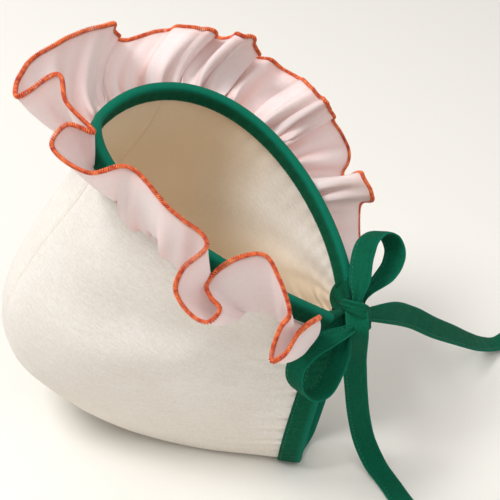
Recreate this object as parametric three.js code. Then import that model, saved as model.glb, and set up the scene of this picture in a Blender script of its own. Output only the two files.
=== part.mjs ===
// A baby's sun bonnet with a frilled face edge, lying on its back with its ties in a bow.
// Millimetres, +Z up. +X runs from the crown to the nape, and +Y from the near cheek to the far one.
// Every cloth piece is worked out from one surface: hoops that fan out from the chin, like a pram
// hood's, with the face edge as the first hoop and the neck edge as the last.
import * as THREE from "three";

// The crown, measured as it lies.
const CROWN_REACH = 150; // from the nape to the furthest point of the crown
const FACE_TOP_HEIGHT = 168; // the top of the face edge, over the surface that it lies on
const CROWN_HALF_WIDTH = 54;
const CHIN_HEIGHT = 88;
const CHIN_OVERHANG = 25; // how far the chin corners lie past the nape
const CHIN_HALF_GAP = 6;
const REST_BLEND = 6; // how softly the cloth flattens where it meets the surface

// Cloth walls and the gaps between pieces.
const CROWN_WALL = 1.6;
const BINDING_WALL = 1;
const RUFFLE_WALL = 1;
const TIE_WALL = 1.6;
const CLEARANCE = 0.3;

// Sewn widths.
const FACE_BINDING_WIDTH = 8;
const NECK_BINDING_WIDTH = 10.5;
const RUFFLE_HEIGHT = 37;
const OVERLOCK_DIAMETER = 2.2;
const TIE_WIDTH = 10.5;

// Shares of the way round the face edge, which runs from 0 at the near chin corner to 1 at the far one.
const PANEL_SEAM = 0.4; // where each side panel meets the centre panel, from its own chin corner
const CORNER = 0.075; // what the pulled-in chin corner takes up

// The bow, turned to face up and away from the chin.
const KNOT_LENGTH = 15;
const KNOT_RADIUS = 5.2;
const KNOT_REACH = 4; // from the chin corners to the middle of the knot
const KNOT_RISE = 2.5;
const LOOP_LENGTH = 42;
const BOW_TURN = THREE.MathUtils.degToRad(23.5);
const BOW_LEAN = THREE.MathUtils.degToRad(40);
const RIGHT_TAIL_REACH = 130;
const FRONT_TAIL_REACH = 60;

// The hoops. way: from the face edge to the neck edge. reach, rise: of CROWN_REACH and of
// FACE_TOP_HEIGHT. near, far: each side's half width, and lift: how far the sides stand out from
// the hoop's plane, of CROWN_HALF_WIDTH.
const HOOPS = [
  { way: 0.0, reach: 0.587, rise: 1.0, near: 0.72, far: 0.93, lift: 0.24 },
  { way: 0.1, reach: 0.667, rise: 0.85, near: 0.78, far: 1.02, lift: 0.185 },
  { way: 0.25, reach: 0.827, rise: 0.64, near: 0.85, far: 1.07, lift: 0.09 },
  { way: 0.42, reach: 0.953, rise: 0.415, near: 0.91, far: 1.07, lift: 0 },
  { way: 0.55, reach: 0.927, rise: 0.215, near: 0.83, far: 1.0, lift: 0 },
  { way: 0.68, reach: 0.72, rise: 0.025, near: 0.62, far: 0.83, lift: 0 },
  { way: 0.84, reach: 0.36, rise: -0.08, near: 0.39, far: 0.59, lift: 0 },
  { way: 1.0, reach: -0.045, rise: -0.03, near: 0.24, far: 0.24, lift: 0 },
];
const HOOP_TAPER = 0.8; // how much narrower a hoop is towards the chin

// The turns of the ruffle's hem. at: the share of the way round. slide: along the face edge,
// out: away from the crown and front: past the face edge, of RUFFLE_HEIGHT from the ruffle's seam.
const HEM_TURNS = [
  { at: 0.085, slide: 0.1, out: 0.1, front: 0.15 },
  { at: 0.09, slide: 0.15, out: 0.25, front: 0.45 },
  { at: 0.095, slide: 0.5, out: 0.55, front: 0.55 },
  { at: 0.1, slide: 0.6, out: 0.7, front: 0.35 },
  { at: 0.105, slide: 0.65, out: 0.7, front: 0.2 },
  { at: 0.11, slide: 0.6, out: 0.6, front: 0.25 },
  { at: 0.12, slide: 0.5, out: 0.5, front: 0.45 },
  { at: 0.13, slide: 0.4, out: 0.5, front: 0.6 },
  { at: 0.14, slide: 0.4, out: 0.35, front: 0.7 },
  { at: 0.155, slide: 0.55, out: 0.1, front: 0.85 },
  { at: 0.165, slide: 0.7, out: 0.15, front: 0.7 },
  { at: 0.173, slide: 0.8, out: 0.3, front: 0.5 },
  { at: 0.18, slide: 0.75, out: 0.4, front: 0.35 },
  { at: 0.185, slide: 0.65, out: 0.6, front: 0.35 },
  { at: 0.19, slide: 0.5, out: 0.75, front: 0.35 },
  { at: 0.195, slide: 0.5, out: 0.85, front: 0.2 },
  { at: 0.2, slide: 0.6, out: 0.8, front: 0.15 },
  { at: 0.21, slide: 0.7, out: 0.7, front: 0.25 },
  { at: 0.22, slide: 0.6, out: 0.65, front: 0.45 },
  { at: 0.23, slide: 0.35, out: 0.5, front: 0.7 },
  { at: 0.28, slide: 0.2, out: 0.5, front: 0.75 },
  { at: 0.325, slide: 0.15, out: 0.5, front: 0.8 },
  { at: 0.36, slide: -0.15, out: 0.75, front: 0.6 },
  { at: 0.385, slide: 0.0, out: 0.8, front: 0.5 },
  { at: 0.4, slide: -0.15, out: 0.65, front: 0.7 },
  { at: 0.41, slide: -0.45, out: 0.4, front: 0.75 },
  { at: 0.425, slide: -0.2, out: 0.55, front: 0.75 },
  { at: 0.44, slide: 0.0, out: 0.6, front: 0.8 },
  { at: 0.455, slide: -0.25, out: 0.9, front: 0.4 },
  { at: 0.47, slide: 0.1, out: 0.9, front: 0.5 },
  { at: 0.485, slide: 0.2, out: 0.7, front: 0.75 },
  { at: 0.515, slide: 0.55, out: 0.5, front: 0.8 },
  { at: 0.525, slide: 0.75, out: 0.65, front: 0.35 },
  { at: 0.54, slide: 0.75, out: 0.65, front: 0.15 },
  { at: 0.575, slide: 0.65, out: 0.7, front: 0.3 },
  { at: 0.615, slide: 0.4, out: 0.5, front: 0.65 },
  { at: 0.625, slide: 0.5, out: 0.8, front: 0.2 },
  { at: 0.65, slide: 0.25, out: 0.45, front: 0.85 },
  { at: 0.67, slide: 0.3, out: 0.9, front: 0.2 },
  { at: 0.7, slide: 0.25, out: 0.95, front: 0.2 },
  { at: 0.735, slide: 0.3, out: 0.45, front: 0.75 },
  { at: 0.75, slide: 0.05, out: 0.95, front: 0.15 },
  { at: 0.77, slide: 0.2, out: 0.95, front: -0.05 },
  { at: 0.785, slide: 0.15, out: 0.85, front: -0.3 },
  { at: 0.8, slide: 0.45, out: 0.25, front: 0.75 },
  { at: 0.815, slide: 0.5, out: 0.25, front: 0.7 },
  { at: 0.83, slide: -0.1, out: 0.9, front: -0.25 },
  { at: 0.865, slide: -0.25, out: 0.85, front: -0.3 },
  { at: 0.9, slide: -0.2, out: 0.4, front: -0.1 },
  { at: 0.915, slide: 0.0, out: 0.15, front: 0.1 },
];

const RUFFLE_STAND = 0.42; // how far a fold stands straight out before it turns to its hem

// The bow's ribbons. right, up and toward: from the middle of the knot, in the bow's own
// directions, of LOOP_LENGTH. wide_right, wide_up and wide_toward: which way the ribbon's width lies.
const UPPER_LOOP = [
  { right: 0.02, up: 0.2, toward: 0.08, wide_right: 0.9, wide_up: 0, wide_toward: 0.4, pinch: 0.5 },
  { right: 0.05, up: 0.37, toward: 0.05, wide_right: 0.95, wide_up: -0.1, wide_toward: 0.3, pinch: 0.95 },
  { right: 0.1, up: 0.62, toward: -0.05, wide_right: 0.95, wide_up: -0.1, wide_toward: 0.35, pinch: 1 },
  { right: 0.18, up: 0.8, toward: -0.12, wide_right: 0.9, wide_up: -0.1, wide_toward: 0.45, pinch: 1 },
  { right: 0.32, up: 0.89, toward: -0.25, wide_right: 0.85, wide_up: -0.1, wide_toward: 0.5, pinch: 1 },
  { right: 0.44, up: 0.85, toward: -0.36, wide_right: 0.85, wide_up: -0.15, wide_toward: 0.5, pinch: 1 },
  { right: 0.5, up: 0.72, toward: -0.4, wide_right: 0.8, wide_up: -0.2, wide_toward: 0.5, pinch: 1 },
  { right: 0.47, up: 0.57, toward: -0.36, wide_right: 0.8, wide_up: -0.3, wide_toward: 0.5, pinch: 1 },
  { right: 0.36, up: 0.42, toward: -0.28, wide_right: 0.75, wide_up: -0.4, wide_toward: 0.5, pinch: 0.95 },
  { right: 0.11, up: 0.22, toward: -0.1, wide_right: 0.8, wide_up: -0.3, wide_toward: 0.5, pinch: 0.45 },
];
const LOWER_LOOP = [
  { right: -0.07, up: -0.12, toward: 0.165, wide_right: 0.4, wide_up: -0.7, wide_toward: 0.45, pinch: 0.45 },
  { right: -0.32, up: -0.22, toward: 0.33, wide_right: 0.45, wide_up: -0.65, wide_toward: 0.5, pinch: 0.9 },
  { right: -0.53, up: -0.34, toward: 0.4, wide_right: 0.5, wide_up: -0.55, wide_toward: 0.55, pinch: 1 },
  { right: -0.66, up: -0.5, toward: 0.38, wide_right: 0.6, wide_up: -0.45, wide_toward: 0.6, pinch: 1 },
  { right: -0.66, up: -0.67, toward: 0.31, wide_right: 0.6, wide_up: -0.45, wide_toward: 0.6, pinch: 1 },
  { right: -0.54, up: -0.78, toward: 0.23, wide_right: 0.6, wide_up: -0.45, wide_toward: 0.6, pinch: 1 },
  { right: -0.39, up: -0.74, toward: 0.17, wide_right: 0.65, wide_up: -0.4, wide_toward: 0.6, pinch: 1 },
  { right: -0.27, up: -0.56, toward: 0.13, wide_right: 0.75, wide_up: -0.35, wide_toward: 0.55, pinch: 1 },
  { right: -0.18, up: -0.38, toward: 0.1, wide_right: 0.8, wide_up: -0.3, wide_toward: 0.45, pinch: 0.9 },
  { right: -0.1, up: -0.21, toward: 0.06, wide_right: 0.9, wide_up: -0.3, wide_toward: 0.3, pinch: 0.45 },
];

// The ties' loose ends. forward and aside: along X and Y from the knot, of the tail's reach. rise: of
// the knot's height. across: the heading of the ribbon's width in degrees, and edge: how far the
// ribbon stands on its edge, in degrees.
const RIGHT_TAIL = [
  { forward: 0.015, aside: 0.037, rise: 0.975, across: -24, edge: 85, pinch: 0.6 },
  { forward: 0.075, aside: 0.16, rise: 0.88, across: -24, edge: 80, pinch: 1 },
  { forward: 0.13, aside: 0.295, rise: 0.735, across: -24, edge: 72, pinch: 1 },
  { forward: 0.19, aside: 0.42, rise: 0.565, across: -24, edge: 62, pinch: 1 },
  { forward: 0.25, aside: 0.56, rise: 0.38, across: -24, edge: 50, pinch: 1 },
  { forward: 0.315, aside: 0.7, rise: 0.195, across: -24, edge: 32, pinch: 1 },
  { forward: 0.36, aside: 0.81, rise: 0.065, across: -24, edge: 12, pinch: 1 },
  { forward: 0.4, aside: 0.89, rise: 0, across: -24, edge: 0, pinch: 1 },
  { forward: 0.445, aside: 0.98, rise: 0, across: -24, edge: 0, pinch: 1 },
];
const FRONT_TAIL = [
  { forward: 0.02, aside: -0.02, rise: 0.91, across: 20, edge: 0, pinch: 0.6 },
  { forward: 0.02, aside: 0, rise: 0.72, across: 18, edge: 0, pinch: 1 },
  { forward: 0.04, aside: 0.02, rise: 0.52, across: 16, edge: 0, pinch: 1 },
  { forward: 0.07, aside: 0.045, rise: 0.33, across: 20, edge: 0, pinch: 1 },
  { forward: 0.13, aside: 0.06, rise: 0.15, across: 26, edge: 0, pinch: 1 },
  { forward: 0.24, aside: 0.02, rise: 0.035, across: 34, edge: 0, pinch: 1 },
  { forward: 0.36, aside: -0.07, rise: 0, across: 42, edge: 0, pinch: 1 },
  { forward: 0.5, aside: -0.21, rise: 0, across: 46, edge: 0, pinch: 1 },
  { forward: 0.67, aside: -0.37, rise: 0, across: 47, edge: 0, pinch: 1 },
  { forward: 0.8, aside: -0.5, rise: 0, across: 47, edge: 0, pinch: 1 },
];

// How finely the cloth is divided.
const SIDE_STEPS = 17; // steps along the face edge of a side panel
const CENTRE_STEPS = 10;
const ACROSS = 11; // steps across the crown between its bindings
const HEM_STEPS = 130; // steps along the ruffle's hem
const RUFFLE_ROWS = 5;
const RIBBON_STEPS = 2;
const LEAD_STEPS = 4;

const cream = { color: 0xe6dccd, roughness: 0.9, metalness: 0 };
const blush = { color: 0xf2d9d3, roughness: 0.85, metalness: 0 };
const vermilion = { color: 0xd8482c, roughness: 0.7, metalness: 0 };
const green = { color: 0x1d6b4d, roughness: 0.8, metalness: 0 };

const bonnet = new THREE.Group();

function addPiece(name, geometry, finish) {
  const mesh = new THREE.Mesh(geometry, new THREE.MeshStandardMaterial(finish));
  mesh.name = name;
  bonnet.add(mesh);
  return mesh;
}

// A smooth curve through one column of a table, with another column as the place.
function column(rows, place, name, at) {
  const last = rows.length - 1;
  const slope = (i) => {
    const a = rows[Math.max(i - 1, 0)];
    const b = rows[Math.min(i + 1, last)];
    return (b[name] - a[name]) / (b[place] - a[place]);
  };
  let i = 0;
  while (i < last - 1 && at > rows[i + 1][place]) i++;
  const step = rows[i + 1][place] - rows[i][place];
  const t = (at - rows[i][place]) / step;
  return (
    (1 + 2 * t) * (1 - t) ** 2 * rows[i][name] +
    t * (1 - t) ** 2 * step * slope(i) +
    t * t * (3 - 2 * t) * rows[i + 1][name] +
    t * t * (t - 1) * step * slope(i + 1)
  );
}

// How wide a hoop is, of its widest, at a turn from 0 at the chin to 1 at the crown's middle.
const teardrop = (turn) => Math.sin(Math.PI * turn) * Math.sin((Math.PI * turn) / 2) ** HOOP_TAPER;
const WIDEST = teardrop((2 / Math.PI) * Math.atan(Math.sqrt(1 + HOOP_TAPER)));

// A height on the crown, kept on the surface that the bonnet lies on, with room for the neck's binding.
function rested(z, way) {
  const floor = (BINDING_WALL + CLEARANCE) * THREE.MathUtils.smoothstep(way, 0.84, 0.95);
  const over = z - floor;
  if (over > REST_BLEND) return z;
  return over < -REST_BLEND ? floor : floor + (over + REST_BLEND) ** 2 / (4 * REST_BLEND);
}

// The crown's outer surface. way: from 0 at the face edge to 1 at the neck edge. at: from 0 at the
// near chin corner, over a half at the crown's middle, to 1 at the far chin corner.
function crownPoint(way, at) {
  const turn = 1 - Math.abs(2 * at - 1);
  const chin = new THREE.Vector3(CHIN_OVERHANG, 0, CHIN_HEIGHT);
  const back = new THREE.Vector3(
    -CROWN_REACH * column(HOOPS, "way", "reach", way),
    0,
    FACE_TOP_HEIGHT * column(HOOPS, "way", "rise", way),
  );
  const outward = new THREE.Vector3(chin.z - back.z, 0, back.x - chin.x).normalize();
  if (outward.z < 0) outward.negate();
  const half = column(HOOPS, "way", at < 0.5 ? "near" : "far", way) * CROWN_HALF_WIDTH;
  const lift = column(HOOPS, "way", "lift", way) * CROWN_HALF_WIDTH;
  const point = chin.clone().lerp(back, (1 - Math.cos(Math.PI * turn)) / 2);
  point.addScaledVector(outward, lift * Math.sin(Math.PI * turn));
  const gap = CHIN_HALF_GAP * Math.cos((Math.PI * turn) / 2) ** 2;
  point.y = Math.sign(at - 0.5) * ((half * teardrop(turn)) / WIDEST + gap);
  point.z = rested(point.z, way);
  return point;
}

// A point of the crown with its directions: along the face edge, out of the crown and front, to the face.
function crownPlace(way, at) {
  const step = 0.002;
  const point = crownPoint(way, at);
  const along = crownPoint(way, at + step).sub(crownPoint(way, at - step)).normalize();
  const front = crownPoint(Math.max(way - step, 0), at).sub(crownPoint(Math.min(way + step, 1), at));
  const out = new THREE.Vector3().crossVectors(front, along).normalize();
  front.crossVectors(along, out).normalize();
  return { point, along, out, front };
}

// The line across the crown at one share of the way round, which finds a way from a distance.
function crossing(at) {
  const steps = 60;
  const walked = [0];
  let last = crownPoint(0, at);
  for (let i = 1; i <= steps; i++) {
    const next = crownPoint(i / steps, at);
    walked.push(walked[i - 1] + next.distanceTo(last));
    last = next;
  }
  const length = walked[steps];
  const wayAfter = (distance) => {
    let i = 1;
    while (i < steps && walked[i] < distance) i++;
    return (i - 1 + (distance - walked[i - 1]) / (walked[i] - walked[i - 1])) / steps;
  };
  const faceFlange = Math.min(FACE_BINDING_WIDTH, 0.4 * length);
  const neckFlange = Math.min(NECK_BINDING_WIDTH, 0.44 * length);
  return { length, wayAfter, faceFlange, neckFlange };
}

// A closed mesh whose faces are turned to point out.
function solid(positions, triangles) {
  const at = (i) => new THREE.Vector3().fromArray(positions, 3 * i);
  let volume = 0;
  for (let t = 0; t < triangles.length; t += 3) {
    const [a, b, c] = [at(triangles[t]), at(triangles[t + 1]), at(triangles[t + 2])];
    volume += a.dot(b.cross(c));
  }
  const geometry = new THREE.BufferGeometry();
  geometry.setAttribute("position", new THREE.Float32BufferAttribute(positions, 3));
  geometry.setIndex(volume > 0 ? triangles : triangles.slice().reverse());
  geometry.computeVertexNormals();
  return geometry;
}

// The two triangles of a four-cornered face, split along its shorter diagonal.
function split(positions, a, b, c, d) {
  const at = (i) => new THREE.Vector3().fromArray(positions, 3 * i);
  const straight = at(a).distanceTo(at(c)) <= at(b).distanceTo(at(d));
  return straight ? [a, b, c, a, c, d] : [a, b, d, b, c, d];
}

// A bent slab between two grids of points, which are given as columns of rows.
function slab(upper, lower) {
  const columns = upper.length;
  const rows = upper[0].length;
  const positions = [];
  for (const grid of [upper, lower]) {
    for (const line of grid) {
      for (const point of line) positions.push(point.x, point.y, point.z);
    }
  }
  const top = (i, j) => i * rows + j;
  const bottom = (i, j) => columns * rows + i * rows + j;
  const triangles = [];
  const quad = (...corners) => triangles.push(...split(positions, ...corners));
  for (let i = 0; i + 1 < columns; i++) {
    for (let j = 0; j + 1 < rows; j++) {
      quad(top(i, j), top(i + 1, j), top(i + 1, j + 1), top(i, j + 1));
      quad(bottom(i, j), bottom(i, j + 1), bottom(i + 1, j + 1), bottom(i + 1, j));
    }
    quad(top(i, 0), bottom(i, 0), bottom(i + 1, 0), top(i + 1, 0));
    quad(top(i, rows - 1), top(i + 1, rows - 1), bottom(i + 1, rows - 1), bottom(i, rows - 1));
  }
  for (let j = 0; j + 1 < rows; j++) {
    quad(top(0, j), top(0, j + 1), bottom(0, j + 1), bottom(0, j));
    const end = columns - 1;
    quad(top(end, j), bottom(end, j), bottom(end, j + 1), top(end, j + 1));
  }
  return solid(positions, triangles);
}

// A bar through rings of points, with its ends closed over the flat section.
function bar(rings, section) {
  const sides = section.length;
  const positions = rings.flat().flatMap((p) => [p.x, p.y, p.z]);
  const triangles = [];
  for (let i = 0; i + 1 < rings.length; i++) {
    for (let k = 0; k < sides; k++) {
      const a = i * sides + k;
      const b = i * sides + ((k + 1) % sides);
      triangles.push(...split(positions, a, b, b + sides, a + sides));
    }
  }
  const last = (rings.length - 1) * sides;
  for (const [a, b, c] of THREE.ShapeUtils.triangulateShape(section, [])) {
    triangles.push(c, b, a, last + a, last + b, last + c);
  }
  return solid(positions, triangles);
}

// The shares of the way round at which the crown and its bindings are worked out, seams among them.
const stations = [CORNER];
for (const [steps, from, to] of [
  [SIDE_STEPS, CORNER, PANEL_SEAM],
  [CENTRE_STEPS, PANEL_SEAM, 1 - PANEL_SEAM],
  [SIDE_STEPS, 1 - PANEL_SEAM, 1 - CORNER],
]) {
  for (let i = 1; i <= steps; i++) stations.push(THREE.MathUtils.lerp(from, to, i / steps));
}

// One panel of the crown, from one share of the way round to another.
function crownPanel(from, to) {
  const half = CLEARANCE / 2;
  // The share at half a clearance from a seam, or at the panel's own place away from the seams.
  const inset = (way, at) => {
    if (at !== PANEL_SEAM && at !== 1 - PANEL_SEAM) return at;
    const step = 0.01;
    const pace = crownPoint(way, at + step).distanceTo(crownPoint(way, at - step)) / (2 * step);
    return at + ((at === from ? 1 : -1) * half) / pace;
  };
  const halfStep = (PANEL_SEAM - CORNER) / SIDE_STEPS / 2;
  const between = stations.filter((at) => at > from + halfStep && at < to - halfStep);
  const upper = [];
  const lower = [];
  for (const at of [from, ...between, to]) {
    const line = crossing(at);
    const bare = line.length - line.faceFlange - line.neckFlange;
    const distances = [0, line.faceFlange / 2];
    for (let j = 0; j <= ACROSS; j++) distances.push(line.faceFlange + (bare * j) / ACROSS);
    distances.push(line.length - line.neckFlange / 2, line.length);
    const places = distances.map((distance) => {
      const way = line.wayAfter(distance);
      return crownPlace(way, inset(way, at));
    });
    upper.push(places.map((place) => place.point));
    lower.push(places.map((place) => place.point.clone().addScaledVector(place.out, -CROWN_WALL)));
  }
  return slab(upper, lower);
}

// A binding folded over the face edge or the neck edge. Its section runs round both flanges: across
// is measured from the cloth's edge into the crown, of the flange's width or past the edge, and rise
// out of the crown's outer surface.
function binding(edge) {
  const over = CLEARANCE + BINDING_WALL;
  const under = -CROWN_WALL - CLEARANCE;
  const middle = -CROWN_WALL / 2;
  const section = [
    { share: 1, past: 0, rise: over },
    { share: 0.5, past: 0, rise: over },
    { share: 0, past: 0, rise: over },
    { share: 0, past: 0.7 * over, rise: 0.4 * over },
    { share: 0, past: over, rise: middle },
    { share: 0, past: 0.7 * over, rise: under - 0.4 * BINDING_WALL },
    { share: 0, past: 0, rise: under - BINDING_WALL },
    { share: 0.5, past: 0, rise: under - BINDING_WALL },
    { share: 1, past: 0, rise: under - BINDING_WALL },
    { share: 1, past: 0, rise: under },
    { share: 0.5, past: 0, rise: under },
    { share: 0, past: CLEARANCE, rise: under },
    { share: 0, past: CLEARANCE, rise: CLEARANCE },
    { share: 0.5, past: 0, rise: CLEARANCE },
    { share: 1, past: 0, rise: CLEARANCE },
  ];
  const rings = stations.map((at) => {
    const line = crossing(at);
    return section.map(({ share, past, rise }) => {
      const distance = share * (edge === "face" ? line.faceFlange : line.neckFlange);
      const way = line.wayAfter(edge === "face" ? distance : line.length - distance);
      const { point, out, front } = crownPlace(way, at);
      const away = edge === "face" ? past : -past;
      return point.addScaledVector(out, rise).addScaledVector(front, away);
    });
  });
  const outline = section.map(
    ({ share, past, rise }) => new THREE.Vector2(share * FACE_BINDING_WIDTH - past, rise),
  );
  return bar(rings, outline);
}

// The seam of the ruffle at one share of the way round, just behind the face binding.
function ruffleSeam(at) {
  const line = crossing(at);
  const behind = line.faceFlange + 2 * CLEARANCE + RUFFLE_WALL / 2;
  const place = crownPlace(line.wayAfter(behind), at);
  place.point.addScaledVector(place.out, 2 * CLEARANCE);
  return place;
}

// The ruffle's folds: each column runs from the seam to the hem, and bows out on its way.
function ruffleColumns() {
  const hem = HEM_TURNS.map(({ at, slide, out, front }) => {
    const seam = ruffleSeam(at);
    return seam.point
      .clone()
      .addScaledVector(seam.along, slide * RUFFLE_HEIGHT)
      .addScaledVector(seam.out, out * RUFFLE_HEIGHT)
      .addScaledVector(seam.front, front * RUFFLE_HEIGHT);
  });
  const curve = new THREE.CatmullRomCurve3(hem, false, "centripetal");
  curve.arcLengthDivisions = 10 * HEM_TURNS.length;
  const turns = HEM_TURNS.length - 1;
  const columns = [];
  for (let i = 0; i <= HEM_STEPS; i++) {
    const place = curve.getUtoTmapping(i / HEM_STEPS);
    const row = Math.min(Math.floor(place * turns), turns - 1);
    const at = THREE.MathUtils.lerp(HEM_TURNS[row].at, HEM_TURNS[row + 1].at, place * turns - row);
    const seam = ruffleSeam(at);
    const end = curve.getPoint(place);
    const reach = end.distanceTo(seam.point);
    const rising = seam.point.clone().addScaledVector(seam.out, RUFFLE_STAND * reach);
    const arc = new THREE.QuadraticBezierCurve3(seam.point, rising, end);
    columns.push(arc.getPoints(RUFFLE_ROWS));
  }
  return columns;
}

// The direction out of a sheet of columns at one of its points.
function sheetNormal(columns, i, j) {
  const last = columns.length - 1;
  const rows = columns[0].length - 1;
  const along = columns[Math.min(i + 1, last)][j].clone().sub(columns[Math.max(i - 1, 0)][j]);
  const down = columns[i][Math.max(j - 1, 0)].clone().sub(columns[i][Math.min(j + 1, rows)]);
  return down.cross(along).normalize();
}

// A sheet of cloth with its wall put half on each side of its columns of points.
function sheet(columns, wall) {
  const side = (sign) =>
    columns.map((line, i) =>
      line.map((point, j) => point.clone().addScaledVector(sheetNormal(columns, i, j), (sign * wall) / 2)),
    );
  return slab(side(1), side(-1));
}

// The thread that is overlocked round the ruffle's hem.
function overlock(columns) {
  const sides = 6;
  const radius = OVERLOCK_DIAMETER / 2;
  const flat = radius * Math.cos(Math.PI / sides);
  const section = [];
  for (let k = 0; k < sides; k++) {
    const turn = ((k + 0.5) * 2 * Math.PI) / sides;
    section.push(new THREE.Vector2(Math.cos(turn), Math.sin(turn)).multiplyScalar(radius));
  }
  const rings = columns.map((line, i) => {
    const normal = sheetNormal(columns, i, RUFFLE_ROWS);
    const next = columns[Math.min(i + 1, columns.length - 1)][RUFFLE_ROWS];
    const along = next.clone().sub(columns[Math.max(i - 1, 0)][RUFFLE_ROWS]);
    const beyond = new THREE.Vector3().crossVectors(along, normal).normalize();
    if (beyond.dot(line[RUFFLE_ROWS].clone().sub(line[RUFFLE_ROWS - 1])) < 0) beyond.negate();
    const centre = line[RUFFLE_ROWS].clone().addScaledVector(beyond, CLEARANCE + flat);
    return section.map(({ x, y }) => centre.clone().addScaledVector(beyond, x).addScaledVector(normal, y));
  });
  return bar(rings, section);
}

// The bow's own directions, from the middle of its knot.
const knotCentre = new THREE.Vector3(CHIN_OVERHANG + KNOT_REACH, 0, CHIN_HEIGHT + KNOT_RISE);
const bowRight = new THREE.Vector3(Math.cos(BOW_TURN), Math.sin(BOW_TURN), 0);
const bowToward = new THREE.Vector3(
  Math.sin(BOW_TURN) * Math.cos(BOW_LEAN),
  -Math.cos(BOW_TURN) * Math.cos(BOW_LEAN),
  Math.sin(BOW_LEAN),
);
const bowUp = new THREE.Vector3().crossVectors(bowToward, bowRight);

function inBow(right, up, toward) {
  const point = bowRight.clone().multiplyScalar(right);
  return point.addScaledVector(bowUp, up).addScaledVector(bowToward, toward);
}

// A flat ribbon through stops, each with its point, the way its width lies and how far it is pinched in.
function ribbon(stops) {
  const points = new THREE.CatmullRomCurve3(stops.map((stop) => stop.point));
  const widths = new THREE.CatmullRomCurve3(stops.map((stop) => stop.wide));
  const pinches = new THREE.CatmullRomCurve3(stops.map((stop) => new THREE.Vector3(stop.pinch, 0, 0)));
  const steps = (stops.length - 1) * RIBBON_STEPS;
  const crown = 0.35; // how flat the ribbon's rounded edges are
  const section = [
    [-1, -crown],
    [-0.8, -1],
    [0.8, -1],
    [1, -crown],
    [1, crown],
    [0.8, 1],
    [-0.8, 1],
    [-1, crown],
  ].map(([x, y]) => new THREE.Vector2(x, y));
  const rings = [];
  for (let i = 0; i <= steps; i++) {
    const share = i / steps;
    const point = points.getPoint(share);
    point.z = Math.max(point.z, TIE_WALL / 2);
    const tangent = points.getTangent(share);
    const wide = widths.getPoint(share);
    wide.addScaledVector(tangent, -wide.dot(tangent)).normalize();
    const thick = new THREE.Vector3().crossVectors(tangent, wide);
    const half = (pinches.getPoint(share).x * TIE_WIDTH) / 2;
    const ring = section.map(({ x, y }) =>
      point.clone().addScaledVector(wide, x * half).addScaledVector(thick, (y * TIE_WALL) / 2),
    );
    for (const corner of ring) corner.z = Math.max(corner.z, 0);
    rings.push(ring);
  }
  return bar(rings, section);
}

function loop(rows) {
  return ribbon(
    rows.map((row) => ({
      point: inBow(row.right, row.up, row.toward).multiplyScalar(LOOP_LENGTH).add(knotCentre),
      wide: inBow(row.wide_right, row.wide_up, row.wide_toward),
      pinch: row.pinch,
    })),
  );
}

// A loose end, which falls to the surface and lies on it.
function tail(rows, reach) {
  return ribbon(
    rows.map(({ forward, aside, rise, across, edge, pinch }) => {
      const point = new THREE.Vector3(forward * reach, aside * reach, 0).add(knotCentre);
      point.z = Math.max(rise * knotCentre.z, TIE_WALL / 2);
      const heading = THREE.MathUtils.degToRad(across);
      const wide = new THREE.Vector3(Math.cos(heading), Math.sin(heading), 0);
      wide.multiplyScalar(Math.cos(THREE.MathUtils.degToRad(edge)));
      wide.z = Math.sin(THREE.MathUtils.degToRad(edge));
      return { point, wide, pinch };
    }),
  );
}

// The short stretch of tie that gathers one chin corner into the knot.
function lead(at) {
  const sideways = at < 0.5 ? -1 : 1;
  const middle = crownPlace(0.5, at).point;
  const toKnot = knotCentre.clone().sub(middle).normalize();
  const inward = toKnot.addScaledVector(bowUp, -toKnot.dot(bowUp)).normalize();
  const mouth = knotCentre.clone().addScaledVector(inward, -KNOT_RADIUS - 2 * CLEARANCE);
  const lines = [];
  for (let i = 0; i <= LEAD_STEPS; i++) {
    const share = i / LEAD_STEPS;
    const { point, along } = crownPlace(share, at);
    const start = point.addScaledVector(along, sideways * (2 * CLEARANCE + TIE_WALL / 2));
    const end = mouth.clone().addScaledVector(bowUp, (0.5 - share) * 0.6 * TIE_WIDTH);
    const line = [];
    for (let j = 0; j <= LEAD_STEPS; j++) {
      line.push(start.clone().lerp(end, j / LEAD_STEPS));
    }
    lines.push(line);
  }
  return sheet(lines, TIE_WALL);
}

// The knot: a turn of tie round the ribbons, wider at its waist.
function knot() {
  const shape = [
    [0, -1],
    [0.7, -1],
    [0.95, -0.6],
    [1, 0],
    [0.95, 0.6],
    [0.7, 1],
    [0, 1],
  ].map(([x, y]) => new THREE.Vector2(x * KNOT_RADIUS, (y * KNOT_LENGTH) / 2));
  const barrel = new THREE.LatheGeometry(shape, 14);
  const basis = new THREE.Matrix4().makeBasis(bowRight, bowUp, bowToward);
  return barrel.applyMatrix4(basis).translate(knotCentre.x, knotCentre.y, knotCentre.z);
}

addPiece("crown_side_near", crownPanel(CORNER, PANEL_SEAM), cream);
addPiece("crown_centre", crownPanel(PANEL_SEAM, 1 - PANEL_SEAM), cream);
addPiece("crown_side_far", crownPanel(1 - PANEL_SEAM, 1 - CORNER), cream);
addPiece("face_binding", binding("face"), green);
addPiece("neck_binding", binding("neck"), green);
const columns = ruffleColumns();
addPiece("ruffle", sheet(columns, RUFFLE_WALL), blush);
addPiece("ruffle_edge", overlock(columns), vermilion);
addPiece("tie_lead_near", lead(CORNER), green);
addPiece("tie_lead_far", lead(1 - CORNER), green);
addPiece("knot", knot(), green);
addPiece("bow_loop_upper", loop(UPPER_LOOP), green);
addPiece("bow_loop_lower", loop(LOWER_LOOP), green);
addPiece("tail_right", tail(RIGHT_TAIL, RIGHT_TAIL_REACH), green);
addPiece("tail_front", tail(FRONT_TAIL, FRONT_TAIL_REACH), green);

// The origin is on the surface, under the middle of the whole thing.
const box = new THREE.Box3().setFromObject(bonnet);
bonnet.position.set(-(box.min.x + box.max.x) / 2, -(box.min.y + box.max.y) / 2, -box.min.z);

export default bonnet;
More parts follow.
